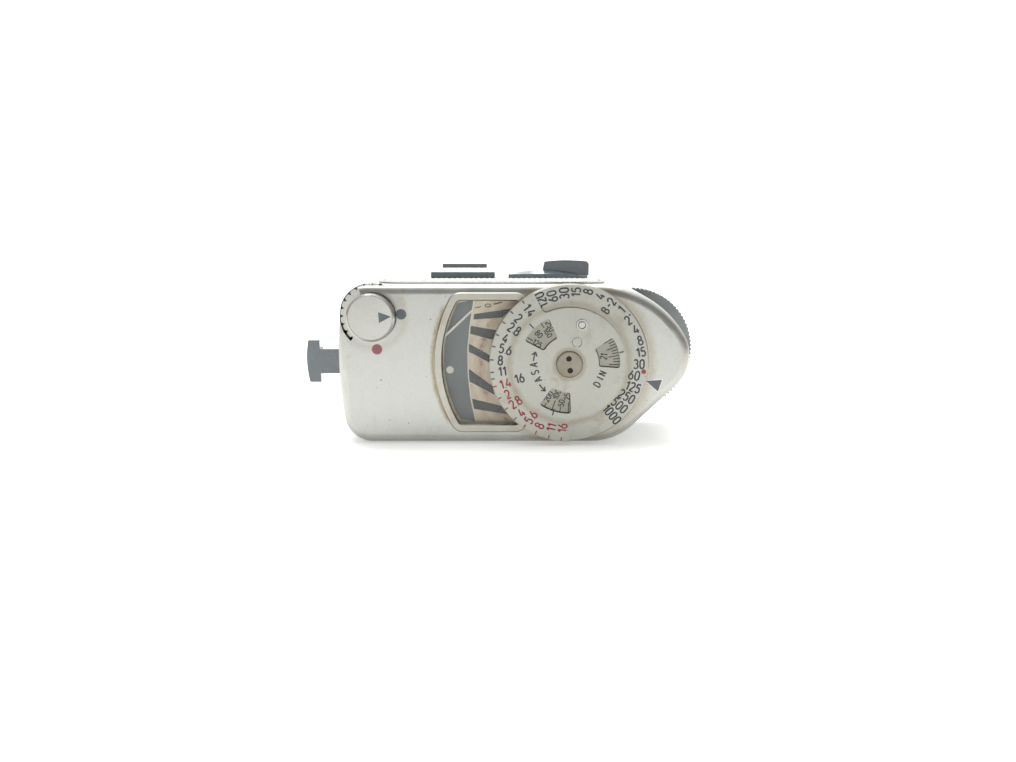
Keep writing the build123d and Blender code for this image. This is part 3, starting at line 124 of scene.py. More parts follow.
def radialBand(tree, coords, centre, radius, halfWidth, wobble, between=None):
    # 1 on a circle about a point of the face, fading to 0 at halfWidth mm either side
    moved = addNode(tree, "ShaderNodeVectorMath", {"operation": "SUBTRACT"}, {0: coords})
    moved.inputs[1].default_value = place(centre[0], 0, centre[1])
    flat = addNode(tree, "ShaderNodeVectorMath", {"operation": "MULTIPLY"}, {0: moved.outputs[0]})
    flat.inputs[1].default_value = (1, 0, 1)
    length = addNode(tree, "ShaderNodeVectorMath", {"operation": "LENGTH"}, {0: flat.outputs[0]})
    noise = addNode(tree, "ShaderNodeTexNoise", {"Scale": 1000 / 2.2, "Detail": 8.0, "Roughness": 0.75}, {"Vector": coords})
    swing = math2(tree, "MULTIPLY", math2(tree, "SUBTRACT", noise.outputs["Fac"], 0.5), 2 * wobble * mm)
    shifted = math2(tree, "ADD", length.outputs["Value"], swing)
    away = math2(tree, "ABSOLUTE", math2(tree, "SUBTRACT", shifted, radius * mm), 0.0)
    band = addNode(tree, "ShaderNodeMapRange", {"From Min": 0.0, "From Max": halfWidth * mm, "To Min": 1.0, "To Max": 0.0},
                   {"Value": away})
    band.clamp = True
    if between is None:
        return band.outputs[0]
    split = addNode(tree, "ShaderNodeSeparateXYZ", links={0: coords})
    fade = addNode(tree, "ShaderNodeMapRange", {"From Min": between[0] * mm, "From Max": (between[0] + 1.5) * mm},
                   {"Value": split.outputs["Z"]})
    stop = addNode(tree, "ShaderNodeMapRange", {"From Min": (between[1] - 1.5) * mm, "From Max": between[1] * mm,
                                                "To Min": 1.0, "To Max": 0.0}, {"Value": split.outputs["Z"]})
    return math2(tree, "MULTIPLY", band.outputs[0], math2(tree, "MULTIPLY", fade.outputs[0], stop.outputs[0]))


# dark rings, partly grime and partly painted shade: centre, radius, half width, waviness, strength, then the heights it
# lies between, mm
metals = {
    # satin chrome: bead-blasted before plating, so a fine even sparkle and soft reflections
    "satinChrome": {"base": "#b9bab6", "grimeAndShade": "#8a7a5c", "rough": (0.27, 0.40), "grain": 0.30, "grimeAt": (0.60, 0.86), "pits": 0.8,
                    # the rings at 17.0 round the dial and at 6.6 round the knob are painted shadow cast on the case,
                    # the knob ring with some grime; the ring at 28.0 and the arc about (20.0, 17.0) are grime
                    "rings": [((12.46, 17.35), 17.0, 1.7, 1.3, 0.42), ((12.46, 17.35), 28.0, 0.75, 0.8, 0.85, 4.0, 29.5),
                              ((20.0, 17.0), 17.6, 2.2, 2.4, 0.34, 3.0, 27.0),
                              ((-27.85, 26.88), 6.6, 1.3, 1.2, 0.22)]},
    # bright nickel over steel, for the foot and the frame round the cell
    "brightNickel": {"base": "#bdbcb5", "grimeAndShade": "#8a7f6a", "rough": (0.24, 0.38), "grain": 0.3,
                     "grimeAt": (0.58, 0.84), "pits": 0.5, "rings": []},
    # matt silver-anodised aluminium: greyer, dusty, with dark specks where the anodising has gone
    "anodisedAluminium": {"base": "#b0b0a9", "grimeAndShade": "#857b66", "rough": (0.36, 0.52), "grain": 0.22,
                          "grimeAt": (0.54, 0.82), "pits": 0.55,
                          # the ring at 16.4 is painted shade along the dial's rim
                          "rings": [((12.46, 17.35), 12.3, 1.1, 1.0, 0.45), ((12.46, 17.35), 3.1, 0.7, 0.6, 0.5),
                                    ((12.46, 17.35), 16.4, 0.3, 0.1, 0.6)]},
    # thin printed disc behind the film-speed windows, dulled and yellowed
    "printedDisc": {"base": "#9c9a90", "grimeAndShade": "#6f6856", "rough": (0.40, 0.55), "grain": 0.2,
                    "grimeAt": (0.50, 0.80), "pits": 0.4, "rings": []},
    # pale frame round the window, smoother than the face
    "frameAluminium": {"base": "#b0aea5", "grimeAndShade": "#8d7f66", "rough": (0.26, 0.40), "grain": 0.3,
                       "grimeAt": (0.52, 0.80), "pits": 0.4, "rings": []},
    # bright turned steel for screws, pins and springs
    "turnedSteel": {"base": "#aba79c", "grimeAndShade": "#6e6658", "rough": (0.22, 0.40), "grain": 0.1,
                    "grimeAt": (0.48, 0.78), "pits": 0.4, "rings": []},
    # steel hub, browned by handling
    "handledSteel": {"base": "#8d897e", "grimeAndShade": "#6a5f4c", "rough": (0.26, 0.44), "grain": 0.2, "grimeAt": (0.42, 0.72), "pits": 0.5,
                     # the ring at 2.7 is painted shade along the hub's rim edge
                     "rings": [((12.46, 17.35), 2.7, 0.35, 0.2, 0.8)]},
    # fine turned face of the range knob, smooth enough to carry soft reflections
    "turnedAluminium": {"base": "#b5b5b1", "grimeAndShade": "#9a927f", "rough": (0.20, 0.30), "grain": 0.25, "grimeAt": (0.60, 0.86), "pits": 0.25,
                        # the ring at 4.75 is painted shade along the edge of the knob's flat face
                        "rings": [((-27.85, 26.88), 4.75, 0.22, 0.05, 0.55)]},
    # knurled disc under the body, dull and darkened in the hollows; its base colour is set dark as painted shade from
    # the body above it
    "agedAluminiumPaintedShade": {"base": "#8b8f90", "grimeAndShade": "#6b6658", "rough": (0.40, 0.55), "grain": 0.22,
                      "grimeAt": (0.52, 0.80), "pits": 0.5, "rings": []},
    # yellow brass, turned and left bare inside the case
    "brass": {"base": "#c9a45a", "grimeAndShade": "#6f5527", "rough": (0.25, 0.42), "grain": 0.2,
              "grimeAt": (0.50, 0.85), "pits": 0.6, "rings": []},
    # phosphor bronze strip, springy and slightly pink
    "springBronze": {"base": "#c08a55", "grimeAndShade": "#6a4426", "rough": (0.28, 0.40), "grain": 0.15,
                     "grimeAt": (0.5, 0.85), "pits": 0.5, "rings": []},
    # cast magnet alloy, ground on its faces
    "magnetAlloy": {"base": "#6c6d70", "grimeAndShade": "#3b3a38", "rough": (0.38, 0.6), "grain": 0.35,
                    "grimeAt": (0.45, 0.8), "pits": 0.6, "rings": []},
}


def makeMetal(name, look):
    mat, tree, bsdf, coords = startMaterial(name, Metallic=1.0)
    grain = addNode(tree, "ShaderNodeTexNoise", {"Scale": 1000 / look["grain"], "Detail": 2.0}, {"Vector": coords})
    dirt = noiseBand(tree, coords, 7.0, look["grimeAt"][0], look["grimeAt"][1], 8.0, 0.72)
    spots = addNode(tree, "ShaderNodeTexVoronoi", {"Scale": 1000 / 1.3, "Randomness": 1.0}, {"Vector": coords})
    pit = addNode(tree, "ShaderNodeMapRange", {"From Min": 0.08, "From Max": 0.15, "To Min": 1.0, "To Max": 0.0},
                  {"Value": spots.outputs["Distance"]})
    sparse = noiseBand(tree, coords, 3.1, 0.56, 0.62, 2.0)
    pits = math2(tree, "MULTIPLY", math2(tree, "MULTIPLY", pit.outputs[0], sparse), look["pits"])
    base = hexToLinear(look["base"])
    darker = [c * 0.84 for c in base[:3]] + [1.0]
    cloud = noiseBand(tree, coords, 11.0, 0.35, 0.65, 5.0)
    colour = mixColour(tree, cloud, darker, base)
    speckle = noiseBand(tree, coords, 0.45, 0.45, 0.72, 3.0)
    colour = mixColour(tree, math2(tree, "MULTIPLY", speckle, 0.18), colour, hexToLinear("#8f8d86"))
    colour = mixColour(tree, math2(tree, "MULTIPLY", dirt, 0.7), colour, hexToLinear(look["grimeAndShade"]))
    worst = math2(tree, "MULTIPLY", dirt, 0.8)
    # rings in the grime colour: some are grime, some are painted shade round the dial, knob and hub
    for centre, radius, halfWidth, wobble, amount, *between in look["rings"]:
        band = math2(tree, "MULTIPLY", radialBand(tree, coords, centre, radius, halfWidth, wobble, between or None), amount)
        colour = mixColour(tree, band, colour, hexToLinear(look["grimeAndShade"]))
        worst = math2(tree, "MAXIMUM", worst, band)
    colour = mixColour(tree, pits, colour, hexToLinear("#5d584c"))
    tree.links.new(colour, bsdf.inputs["Base Color"])
    rough = addNode(tree, "ShaderNodeMapRange", {"To Min": look["rough"][0], "To Max": look["rough"][1]},
                    {"Value": math2(tree, "MAXIMUM", worst, cloud)})
    tree.links.new(rough.outputs[0], bsdf.inputs["Roughness"])
    normal = bumpFrom(tree, grain.outputs["Fac"], 0.012, 0.55)
    normal = bumpFrom(tree, math2(tree, "SUBTRACT", 1.0, pits), 0.03, 0.6, normal)
    tree.links.new(normal, bsdf.inputs["Normal"])
    return mat


paints = {
    # stoved black enamel: thick, glossy, with light scratches; its base is lifted to blue-grey as a painted haze of
    # stray light
    "blackEnamelPaintedHaze": {"base": "#4e585f", "worn": "#5c6770", "rough": (0.20, 0.34), "grain": 0.5, "bump": 0.008, "coat": 1.0},
    # wrinkled black enamel of the back tray, fully black where no light grazes it
    "trayEnamel": {"base": "#262b2e", "worn": "#31373a", "rough": (0.32, 0.48), "grain": 0.6, "bump": 0.02, "coat": 0.3},
    # moulded black thermoset, finely orange-peeled, polished by fingers; its base is lifted to blue-grey as a painted
    # haze of stray light
    "blackMouldingPaintedHaze": {"base": "#48525a", "worn": "#56626b", "rough": (0.18, 0.32), "grain": 0.4, "bump": 0.008, "coat": 1.0},
    # paper-based laminate with a visible weave of brown resin
    "brownLaminate": {"base": "#6b4426", "worn": "#8a6238", "rough": (0.45, 0.6), "grain": 0.3, "bump": 0.01, "coat": 0.0},
    # selenium layer: dark grey, minutely crystalline
    "selenium": {"base": "#4a4644", "worn": "#6a6663", "rough": (0.35, 0.5), "grain": 0.12, "bump": 0.006, "coat": 0.0},
    # white paint on the needle
    "needleWhite": {"base": "#eeece4", "worn": "#d9d6cb", "rough": (0.4, 0.5), "grain": 0.3, "bump": 0.002, "coat": 0.0},
    # enamelled copper wire, wound close
    "copperWinding": {"base": "#8f4a22", "worn": "#b8703a", "rough": (0.3, 0.4), "grain": 0.12, "bump": 0.02, "coat": 0.0},
    # engraved figures filled with black or red paint, matt and slightly chipped
    "blackInk": {"base": "#33383b", "worn": "#5c5f5e", "rough": (0.5, 0.7), "grain": 0.25, "bump": 0.004, "coat": 0.0},
    "redInk": {"base": "#8e2f37", "worn": "#a9585c", "rough": (0.5, 0.7), "grain": 0.25, "bump": 0.004, "coat": 0.0},
    # painted shade: a near-black matt disc set in a hole
    "paintedHoleShade": {"base": "#15130f", "worn": "#2e2a22", "rough": (0.7, 0.9), "grain": 0.3, "bump": 0.01, "coat": 0.0},
    # painted shade for the dark corner under an edge
    "grooveShade": {"base": "#4a463c", "worn": "#6f695c", "rough": (0.7, 0.85), "grain": 0.3, "bump": 0.004, "coat": 0.0},
    # thin dark line along a turned or stamped groove: painted shade in the groove, with its dust
    "paintedGrooveShade": {"base": "#6d675a", "worn": "#8c8678", "rough": (0.6, 0.8), "grain": 0.3, "bump": 0.004, "coat": 0.0},
    # enamel-filled dots and index on the case
    "greyBlackEnamel": {"base": "#565d63", "worn": "#666e74", "rough": (0.35, 0.5), "grain": 0.3, "bump": 0.004, "coat": 0.0},
    "redEnamel": {"base": "#8d4c52", "worn": "#9d6468", "rough": (0.35, 0.5), "grain": 0.3, "bump": 0.004, "coat": 0.0},
    # printed scale: matt lacquers
    "scaleGrey": {"base": "#6c7174", "worn": "#787d7c", "rough": (0.5, 0.62), "grain": 0.3, "bump": 0.004, "coat": 0.0},
    "scaleDark": {"base": "#33383c", "worn": "#4c504f", "rough": (0.5, 0.62), "grain": 0.4, "bump": 0.004, "coat": 0.0},
    "scaleWhite": {"base": "#f1efe8", "worn": "#dcd8cc", "rough": (0.5, 0.6), "grain": 0.4, "bump": 0.002, "coat": 0.0},
}


def makePaint(name, look):
    mat, tree, bsdf, coords = startMaterial(name, Coat_Weight=look["coat"], Coat_Roughness=0.15)
    worn = noiseBand(tree, coords, 2.4, 0.48, 0.78, 6.0, 0.7)
    colour = mixColour(tree, worn, hexToLinear(look["base"]), hexToLinear(look["worn"]))
    tree.links.new(colour, bsdf.inputs["Base Color"])
    rough = addNode(tree, "ShaderNodeMapRange", {"To Min": look["rough"][0], "To Max": look["rough"][1]}, {"Value": worn})
    tree.links.new(rough.outputs[0], bsdf.inputs["Roughness"])
    grain = addNode(tree, "ShaderNodeTexNoise", {"Scale": 1000 / look["grain"], "Detail": 3.0}, {"Vector": coords})
    tree.links.new(bumpFrom(tree, grain.outputs["Fac"], look["bump"], 0.5), bsdf.inputs["Normal"])
    return mat


def makeScaleCream():
    # cream lacquer on tinplate, browned by rust that crept in from the edge
    mat, tree, bsdf, coords = startMaterial("scaleCream", Roughness=0.55)
    band = radialBand(tree, coords, (9.5, 16.5), 15.6, 1.5, 1.6)
    edge = radialBand(tree, coords, (9.5, 16.5), 18.0, 1.2, 1.2)
    specks = noiseBand(tree, coords, 1.6, 0.5, 0.7, 6.0, 0.75)
    reach = math2(tree, "MAXIMUM", band, math2(tree, "MULTIPLY", edge, 0.5))
    broken = math2(tree, "ADD", 0.35, math2(tree, "MULTIPLY", specks, 0.65))
    stain = math2(tree, "MULTIPLY", reach, broken)
    colour = mixColour(tree, noiseBand(tree, coords, 6.0, 0.4, 0.7), hexToLinear("#e6dbc4"), hexToLinear("#d5c6aa"))
    colour = mixColour(tree, stain, colour, hexToLinear("#8f4312"))
    tree.links.new(colour, bsdf.inputs["Base Color"])
    return mat


def makeGlass():
    # flat window glass, a touch of haze from dust
    mat, tree, bsdf, coords = startMaterial("windowGlass", Base_Color=hexToLinear("#a9adab"), Roughness=0.06, IOR=1.5)
    bsdf.inputs["Alpha"].default_value = 0.10
    dust = addNode(tree, "ShaderNodeTexNoise", {"Scale": 1000 / 1.2, "Detail": 5.0}, {"Vector": coords})
    rough = addNode(tree, "ShaderNodeMapRange", {"To Min": 0.03, "To Max": 0.16}, {"Value": dust.outputs["Fac"]})
    tree.links.new(rough.outputs[0], bsdf.inputs["Roughness"])
    mat.surface_render_method = "BLENDED"
    return mat


def makeLensGlass():
    # pressed glass over the cell: thick, slightly green, bright where it catches the light
    mat, tree, bsdf, coords = startMaterial("pressedGlass", Base_Color=hexToLinear("#e6eeea"), Roughness=0.12, IOR=1.5)
    bsdf.inputs["Alpha"].default_value = 0.55
    dust = addNode(tree, "ShaderNodeTexNoise", {"Scale": 1000 / 0.8, "Detail": 5.0}, {"Vector": coords})
    rough = addNode(tree, "ShaderNodeMapRange", {"To Min": 0.08, "To Max": 0.3}, {"Value": dust.outputs["Fac"]})
    tree.links.new(rough.outputs[0], bsdf.inputs["Roughness"])
    return mat


mats = {name: makeMetal(name, look) for name, look in metals.items()}
mats.update({name: makePaint(name, look) for name, look in paints.items()})
mats["scaleCream"] = makeScaleCream()
mats["windowGlass"] = makeGlass()
mats["pressedGlass"] = makeLensGlass()
print("materials made:", len(mats))

nodeFinish = {
    "satinChrome": ["top_housing"],
    "brightNickel": ["cell_frame", "shoe_foot"],
    "anodisedAluminium": ["shutter_ring", "aperture_plate"],
    "printedDisc": ["film_speed_disc"],
    "frameAluminium": ["window_bezel"],
    "handledSteel": ["hub_screw"],
    "turnedAluminium": ["range_knob", "lock_pin"],
    "agedAluminiumPaintedShade": ["coupling_disc"],
    "turnedSteel": ["dial_shaft", "idler_stud", "coupling_shaft", "coupling_pin", "coupling_screw",
                    "key_spring", "slide_plate", "foot_spring_left", "foot_spring_right"]
                   + ["base_screw_%d" % i for i in range(1, 5)] + ["foot_screw_%d" % i for i in range(1, 5)],
    "brass": ["pillar_upper", "pillar_lower", "front_bridge", "back_bridge", "dial_bushing", "dial_gear", "idler_gear",
              "coupling_gear", "switch_stud_high", "switch_stud_low"],
    "springBronze": ["cell_contact_left", "cell_contact_right", "hairspring", "switch_wiper"],
    "magnetAlloy": ["yoke", "magnet_core"],
    "blackEnamelPaintedHaze": ["guard_plate", "booster_rail"],
    "trayEnamel": ["base_plate"],
    "blackMouldingPaintedHaze": ["release_key", "slide_tab"],
    "brownLaminate": ["switch_bracket"],
    "selenium": ["selenium_cell"],
    "copperWinding": ["moving_coil"],
    "needleWhite": ["needle"],
    "scaleCream": ["scale_plate"],
    "windowGlass": ["window_glass"],
    "pressedGlass": ["cell_lens"],
}
for finish, names in nodeFinish.items():
    for name in names:
        obj = nodes[name]
        obj.data.materials.clear()
        obj.data.materials.append(mats[finish])


# helpers for new pieces
def newPiece(name, bm, material, body, smooth=False):
    mesh = bpy.data.meshes.new(name)
    bm.to_mesh(mesh)
    bm.free()
    mesh.materials.append(mats[material])
    if smooth:
        mesh.shade_smooth()
    obj = bpy.data.objects.new(name, mesh)
    bpy.context.scene.collection.objects.link(obj)
    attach(obj, body)
    return obj


def outlinePlate(name, outlines, front, thick, material, body):
    # flat plates cut to an outline of (x, z) points in mm
    bm = bmesh.new()
    for points in outlines:
        verts = [bm.verts.new(place(x, front + thick, z)) for x, z in points]
        face = bm.faces.new(verts)
        face.normal_update()
        if face.normal.y > 0:
            face.normal_flip()
        lifted = bmesh.ops.extrude_face_region(bm, geom=[face])
        moved = [v for v in lifted["geom"] if isinstance(v, bmesh.types.BMVert)]
        bmesh.ops.translate(bm, verts=moved, vec=(0, -thick * mm, 0))
    bmesh.ops.recalc_face_normals(bm, faces=bm.faces[:])
    return newPiece(name, bm, material, body)


def circlePoints(x, z, r, count=32):
    return [(x + r * math.cos(2 * math.pi * i / count), z + r * math.sin(2 * math.pi * i / count)) for i in range(count)]


def sweepArc(cx, cy, rx, ry, start, end, count=9):
    steps = [math.radians(start + (end - start) * i / (count - 1)) for i in range(count)]
    return [(cx + rx * math.cos(t), cy + ry * math.sin(t)) for t in steps]


# engraver's plain figures as single strokes, in a box 0.6 wide and 1 high; then the width each takes up
figures = {
    "0": ([sweepArc(0.3, 0.68, 0.27, 0.32, 0, 180) + sweepArc(0.3, 0.32, 0.27, 0.32, 180, 360) + [(0.57, 0.68)]], 0.82),
    "1": ([[(0.05, 0.72), (0.32, 1.0), (0.32, 0.0)]], 0.58),
    "2": ([sweepArc(0.3, 0.72, 0.26, 0.28, 165, -40) + [(0.04, 0.0), (0.58, 0.0)]], 0.80),
    "3": ([sweepArc(0.27, 0.75, 0.24, 0.25, 150, -85) + sweepArc(0.27, 0.27, 0.29, 0.27, 80, -150)], 0.80),
    "4": ([[(0.38, 1.0), (0.0, 0.26), (0.62, 0.26)], [(0.44, 0.52), (0.44, 0.0)]], 0.82),
    "5": ([[(0.52, 1.0), (0.1, 1.0), (0.07, 0.55)] + sweepArc(0.28, 0.32, 0.28, 0.32, 130, -150)], 0.80),
    "6": ([[(0.42, 1.0), (0.06, 0.42)], sweepArc(0.3, 0.29, 0.27, 0.29, 0, 360, 17)], 0.82),
    "7": ([[(0.04, 1.0), (0.58, 1.0), (0.22, 0.0)]], 0.76),
    "8": ([sweepArc(0.3, 0.76, 0.22, 0.24, 0, 360, 15), sweepArc(0.3, 0.26, 0.28, 0.27, 0, 360, 17)], 0.82),
    ".": ([[(0.08, 0.0), (0.08, 0.08)]], 0.22),
    "'": ([[(0.12, 0.78), (0.12, 1.0)]], 0.26),
    "-": ([[(0.05, 0.5), (0.45, 0.5)]], 0.55),
    "A": ([[(0.0, 0.0), (0.3, 1.0), (0.6, 0.0)], [(0.11, 0.32), (0.49, 0.32)]], 0.82),
    "B": ([[(0.05, 0.52), (0.28, 0.52)] + sweepArc(0.3, 0.26, 0.27, 0.26, 90, -90) + [(0.05, 0.0), (0.05, 1.0), (0.28, 1.0)]
           + sweepArc(0.28, 0.76, 0.23, 0.24, 90, -90)], 0.82),
    "D": ([[(0.05, 0.0), (0.05, 1.0), (0.2, 1.0)] + sweepArc(0.2, 0.5, 0.38, 0.5, 90, -90) + [(0.05, 0.0)]], 0.82),
    "I": ([[(0.12, 0.0), (0.12, 1.0)]], 0.40),
    "N": ([[(0.05, 0.0), (0.05, 1.0), (0.55, 0.0), (0.55, 1.0)]], 0.84),
    "S": ([sweepArc(0.3, 0.74, 0.24, 0.26, 35, 255) + sweepArc(0.3, 0.26, 0.26, 0.26, 75, -145)], 0.80),
}


def splitCorners(strokes):
    # a ribbon thins to nothing round a sharp corner, so each sharp corner starts a new one
    runs = []
    for points in strokes:
        run = [points[0]]
        for before, here, after in zip(points, points[1:], points[2:]):
            run.append(here)
            turned = math.atan2(after[1] - here[1], after[0] - here[0]) - math.atan2(here[1] - before[1], here[0] - before[0])
            if abs(math.remainder(turned, 2 * math.pi)) > 0.75:
                runs.append(run)
                run = [here]
        runs.append(run + [points[-1]])
    return runs


def strokePiece(name, strokes, front, width, material, body, thick=0.03):
    # strokes: lists of (x, z) in mm, drawn as one ribbon of round section and then flattened into the surface
    curve = bpy.data.curves.new(name + "Path", "CURVE")
    curve.dimensions = "3D"
    curve.bevel_depth = width / 2 * mm
    curve.bevel_resolution = 1
    curve.use_fill_caps = True
    for points in splitCorners(strokes):
        spline = curve.splines.new("POLY")
        spline.points.add(len(points) - 1)
        for point, (x, z) in zip(spline.points, points):
            point.co = (*place(x, front, z), 1.0)
    source = bpy.data.objects.new(name + "Path", curve)
    mesh = bpy.data.meshes.new_from_object(source)
    bm = bmesh.new()
    bm.from_mesh(mesh)
    flatten = thick / width
    bmesh.ops.scale(bm, verts=bm.verts[:], vec=(1, flatten, 1), space=Matrix.Translation((0, -(front - midY) * mm, 0)))
    bpy.data.objects.remove(source)
    bpy.data.meshes.remove(mesh)
    return newPiece(name, bm, material, body)


def wordStrokes(words):
    # words: (text, x, z, turn in degrees, height in mm, width factor)
    strokes = []
    for text, x, z, turn, height, width in words:
        total = sum(figures[c][1] for c in text) - 0.2
        along = -total / 2
        a = math.radians(turn)
        for c in text:
            for line in figures[c][0]:
                strokes.append([(x + ((along + u) * width * math.cos(a) - (v - 0.5) * math.sin(a)) * height,
                                 z + ((along + u) * width * math.sin(a) + (v - 0.5) * math.cos(a)) * height) for u, v in line])
            along += figures[c][1]
    return strokes


def lettering(name, words, front, material, body, stroke=0.38):
    return strokePiece(name, wordStrokes(words), front, stroke, material, body)


# figures on the dial
figureHeight = 1.82
blackStops = [("1.4", 13.8, 126.7), ("2", 14.1, 137.9), ("2.8", 13.4, 147.3), ("4", 14.1, 157.6), ("5.6", 13.4, 166.6),
              ("8", 14.1, 176.6), ("11", 13.8, 186.0), ("16", 10.6, 195.9)]
redStops = [("1.4", 13.7, 196.9), ("2", 14.1, 206.4), ("2.8", 13.6, 215.9), ("4", 14.1, 226.0), ("5.6", 13.6, 235.1),
            ("8", 14.25, 245.0), ("11", 13.8, 255.2), ("16", 13.5, 264.7)]
shutterTimes = [("120", 14.3, 114.1), ("60", 14.3, 104.8), ("30", 14.5, 95.0), ("15", 14.7, 85.6), ("8", 15.2, 76.6), ("4", 15.1, 66.7),
                ("-2", 14.8, 57.0), ("1", 15.2, 47.1), ("2'", 14.95, 37.3), ("4", 15.15, 28.1), ("8", 15.15, 18.7),
                ("15", 14.8, 9.5), ("30", 14.3, -0.2), ("60", 13.6, -10.1), ("125", 14.1, -20.2), ("250", 13.8, -29.8),
                ("500", 13.7, -39.7), ("1000", 13.95, -49.8)]


def dialWords(entries, extraTurn, height=figureHeight, width=0.84):
    return [(text, *onDial(r, deg), deg + extraTurn, height, width) for text, r, deg in entries]


def dialBars(angles, r0, r1, width):
    bars = []
    for deg in angles:
        half = math.degrees(width / 2 / r1)
        bars.append([onDial(r0, deg - half), onDial(r1, deg - half), onDial(r1, deg + half), onDial(r0, deg + half)])
    return bars


def onPlate(name, outlines, material):
    return outlinePlate(name, outlines, plateFront - 0.02, 0.04, material, "plate")


lettering("apertureFiguresBlack", dialWords(blackStops, 180), plateFront, "blackInk", "plate")
lettering("apertureFiguresRed", dialWords(redStops, 180), plateFront, "redInk", "plate")
timeExposure = [("B", *onDial(13.1, 57.1), 57, 1.6, 0.9)]
lettering("shutterFigures", dialWords(shutterTimes, 0) + timeExposure, ringFront, "blackInk", "dial")
stopTick = {"from": 15.5, "to": 16.25, "width": 0.28, "lastBlack": 191.0}
blackTicks = [deg for _, _, deg in blackStops[:7]] + [stopTick["lastBlack"]]
onPlate("apertureTicksBlack", dialBars(blackTicks, stopTick["from"], stopTick["to"], stopTick["width"]), "blackInk")
onPlate("apertureTicksRed", dialBars([deg for _, _, deg in redStops], stopTick["from"], stopTick["to"], stopTick["width"]), "redInk")
pointerTicks = dialBars([13.6], 10.4, 11.3, 0.3) + dialBars([252.5], 9.95, 11.2, 0.3) + dialBars([134.6], 10.4, 11.7, 0.26)
onPlate("pointerTicks", pointerTicks, "blackInk")
lettering("filmWords", [("A", *onDial(7.3, 180.5), 90.5, 1.5, 0.9), ("S", *onDial(7.2, 193.5), 103, 1.5, 0.9),
                        ("A", *onDial(7.15, 206.5), 117, 1.5, 0.9), ("D", *onDial(7.1, -35.9), 60, 1.45, 0.95),
                        ("I", *onDial(6.95, -24.6), 64, 1.45, 0.9), ("N", *onDial(7.05, -15.2), 67, 1.45, 0.9)],
          plateFront, "blackInk", "plate", 0.32)

# short curved arrows from the film-speed words to their windows
wordArrow = {"radius": 7.4, "barb": 0.95, "spread": 0.6, "stroke": 0.32}  # mm, and radians
for name, degrees in (("asaArrowUpper", (174.5, 169.5, 164.5, 159.7)), ("asaArrowLower", (214.5, 219.3, 224.1, 228.9))):
    path = [onDial(wordArrow["radius"], deg) for deg in degrees]
    (x0, z0), (x1, z1) = path[-2], path[-1]
    a = math.atan2(z0 - z1, x0 - x1)
    barbs = [[(x1 + wordArrow["barb"] * math.cos(a + t), z1 + wordArrow["barb"] * math.sin(a + t)), (x1, z1)]
             for t in (wordArrow["spread"], -wordArrow["spread"])]
    strokePiece(name, [path] + barbs, plateFront, wordArrow["stroke"], "blackInk", "plate")


# film speeds on the disc that shows through the three windows
def discWords(entries, radius, height):
    return [(text, *onDial(radius, deg), deg + 180, height, 0.9) for text, deg in entries]


speeds = discWords([("160", 124.8), ("125", 147.0)], 7.85, 1.05) + discWords([("250", 117.2), ("80", 135.6)], 8.8, 1.1)
speeds += discWords([("100", 248.8), ("25", 267.2)], 6.85, 1.1)
speeds += discWords([("200", 238.6)], 8.0, 1.1) + discWords([("50", 259.8)], 8.35, 1.1)
speeds += [("21", *onDial(7.15, 12.5), 80, 1.4, 0.66)]
lettering("filmSpeeds", speeds, filmFront, "blackInk", "dial", 0.24)
speedBars = dialBars([124.9], 9.1, 10.3, 0.22) + dialBars([147.4], 8.9, 10.2, 0.22) + dialBars([240.6], 9.4, 10.3, 0.22)
speedBars += dialBars([250.2], 8.1, 10.3, 0.24) + dialBars([259.7], 9.2, 10.3, 0.22) + dialBars([269.7], 8.0, 10.3, 0.24)
dinStep = 3.54  # degrees from one tick to the next
speedBars += dialBars([dinStep * i - 4.0 for i in range(11) if i % 3 != 1], 8.95, 10.25, 0.22)
speedBars += dialBars([dinStep * i - 4.0 for i in (1, 4, 7, 10)], 8.1, 10.25, 0.24)
outlinePlate("filmSpeedTicks", speedBars, filmFront - 0.02, 0.04, "blackInk", "dial")


def sectorEdge(inner, outer, start, end, side):
    # the shaded edges of a window: its inner or outer arc, then the end edge
    arc = sweepArc(dial["x"], dial["z"], side, side, start, end, 9)
    far = outer if side == inner else inner
    return [arc, [arc[-1], onDial(far, end)]]


# painted shade in the corner between the plate's windows and the disc, drawn as dark lines along their edges
windowEdges = sectorEdge(6.0, 10.25, 115.0, 151.6, 6.0)
windowEdges += sectorEdge(6.0, 10.25, 235.0, 272.0, 10.25)
windowEdges += sectorEdge(6.1, 10.2, 32.0, -4.0, 6.1)
strokePiece("windowPaintedShade", windowEdges, filmFront - 0.035, 0.26, "grooveShade", "plate", 0.02)
outlinePlate("ringIndexDot", [circlePoints(*onDial(15.38, -6), 0.5, 20)], ringFront - 0.02, 0.04, "redInk", "dial")
hubHoles = {"angles": (97, 277), "offset": 1.23, "radius": 0.56, "sunk": 0.12, "thick": 0.05}
for side in hubHoles["angles"]:  # painted shade: a near-black disc sunk in each of the two spanner holes
    x, z = onDial(hubHoles["offset"], side)
    outlinePlate("hubHole%d" % side, [circlePoints(x, z, hubHoles["radius"], 24)], hubFront + hubHoles["sunk"], hubHoles["thick"],
                 "paintedHoleShade", "dial")
print("dial figures made")

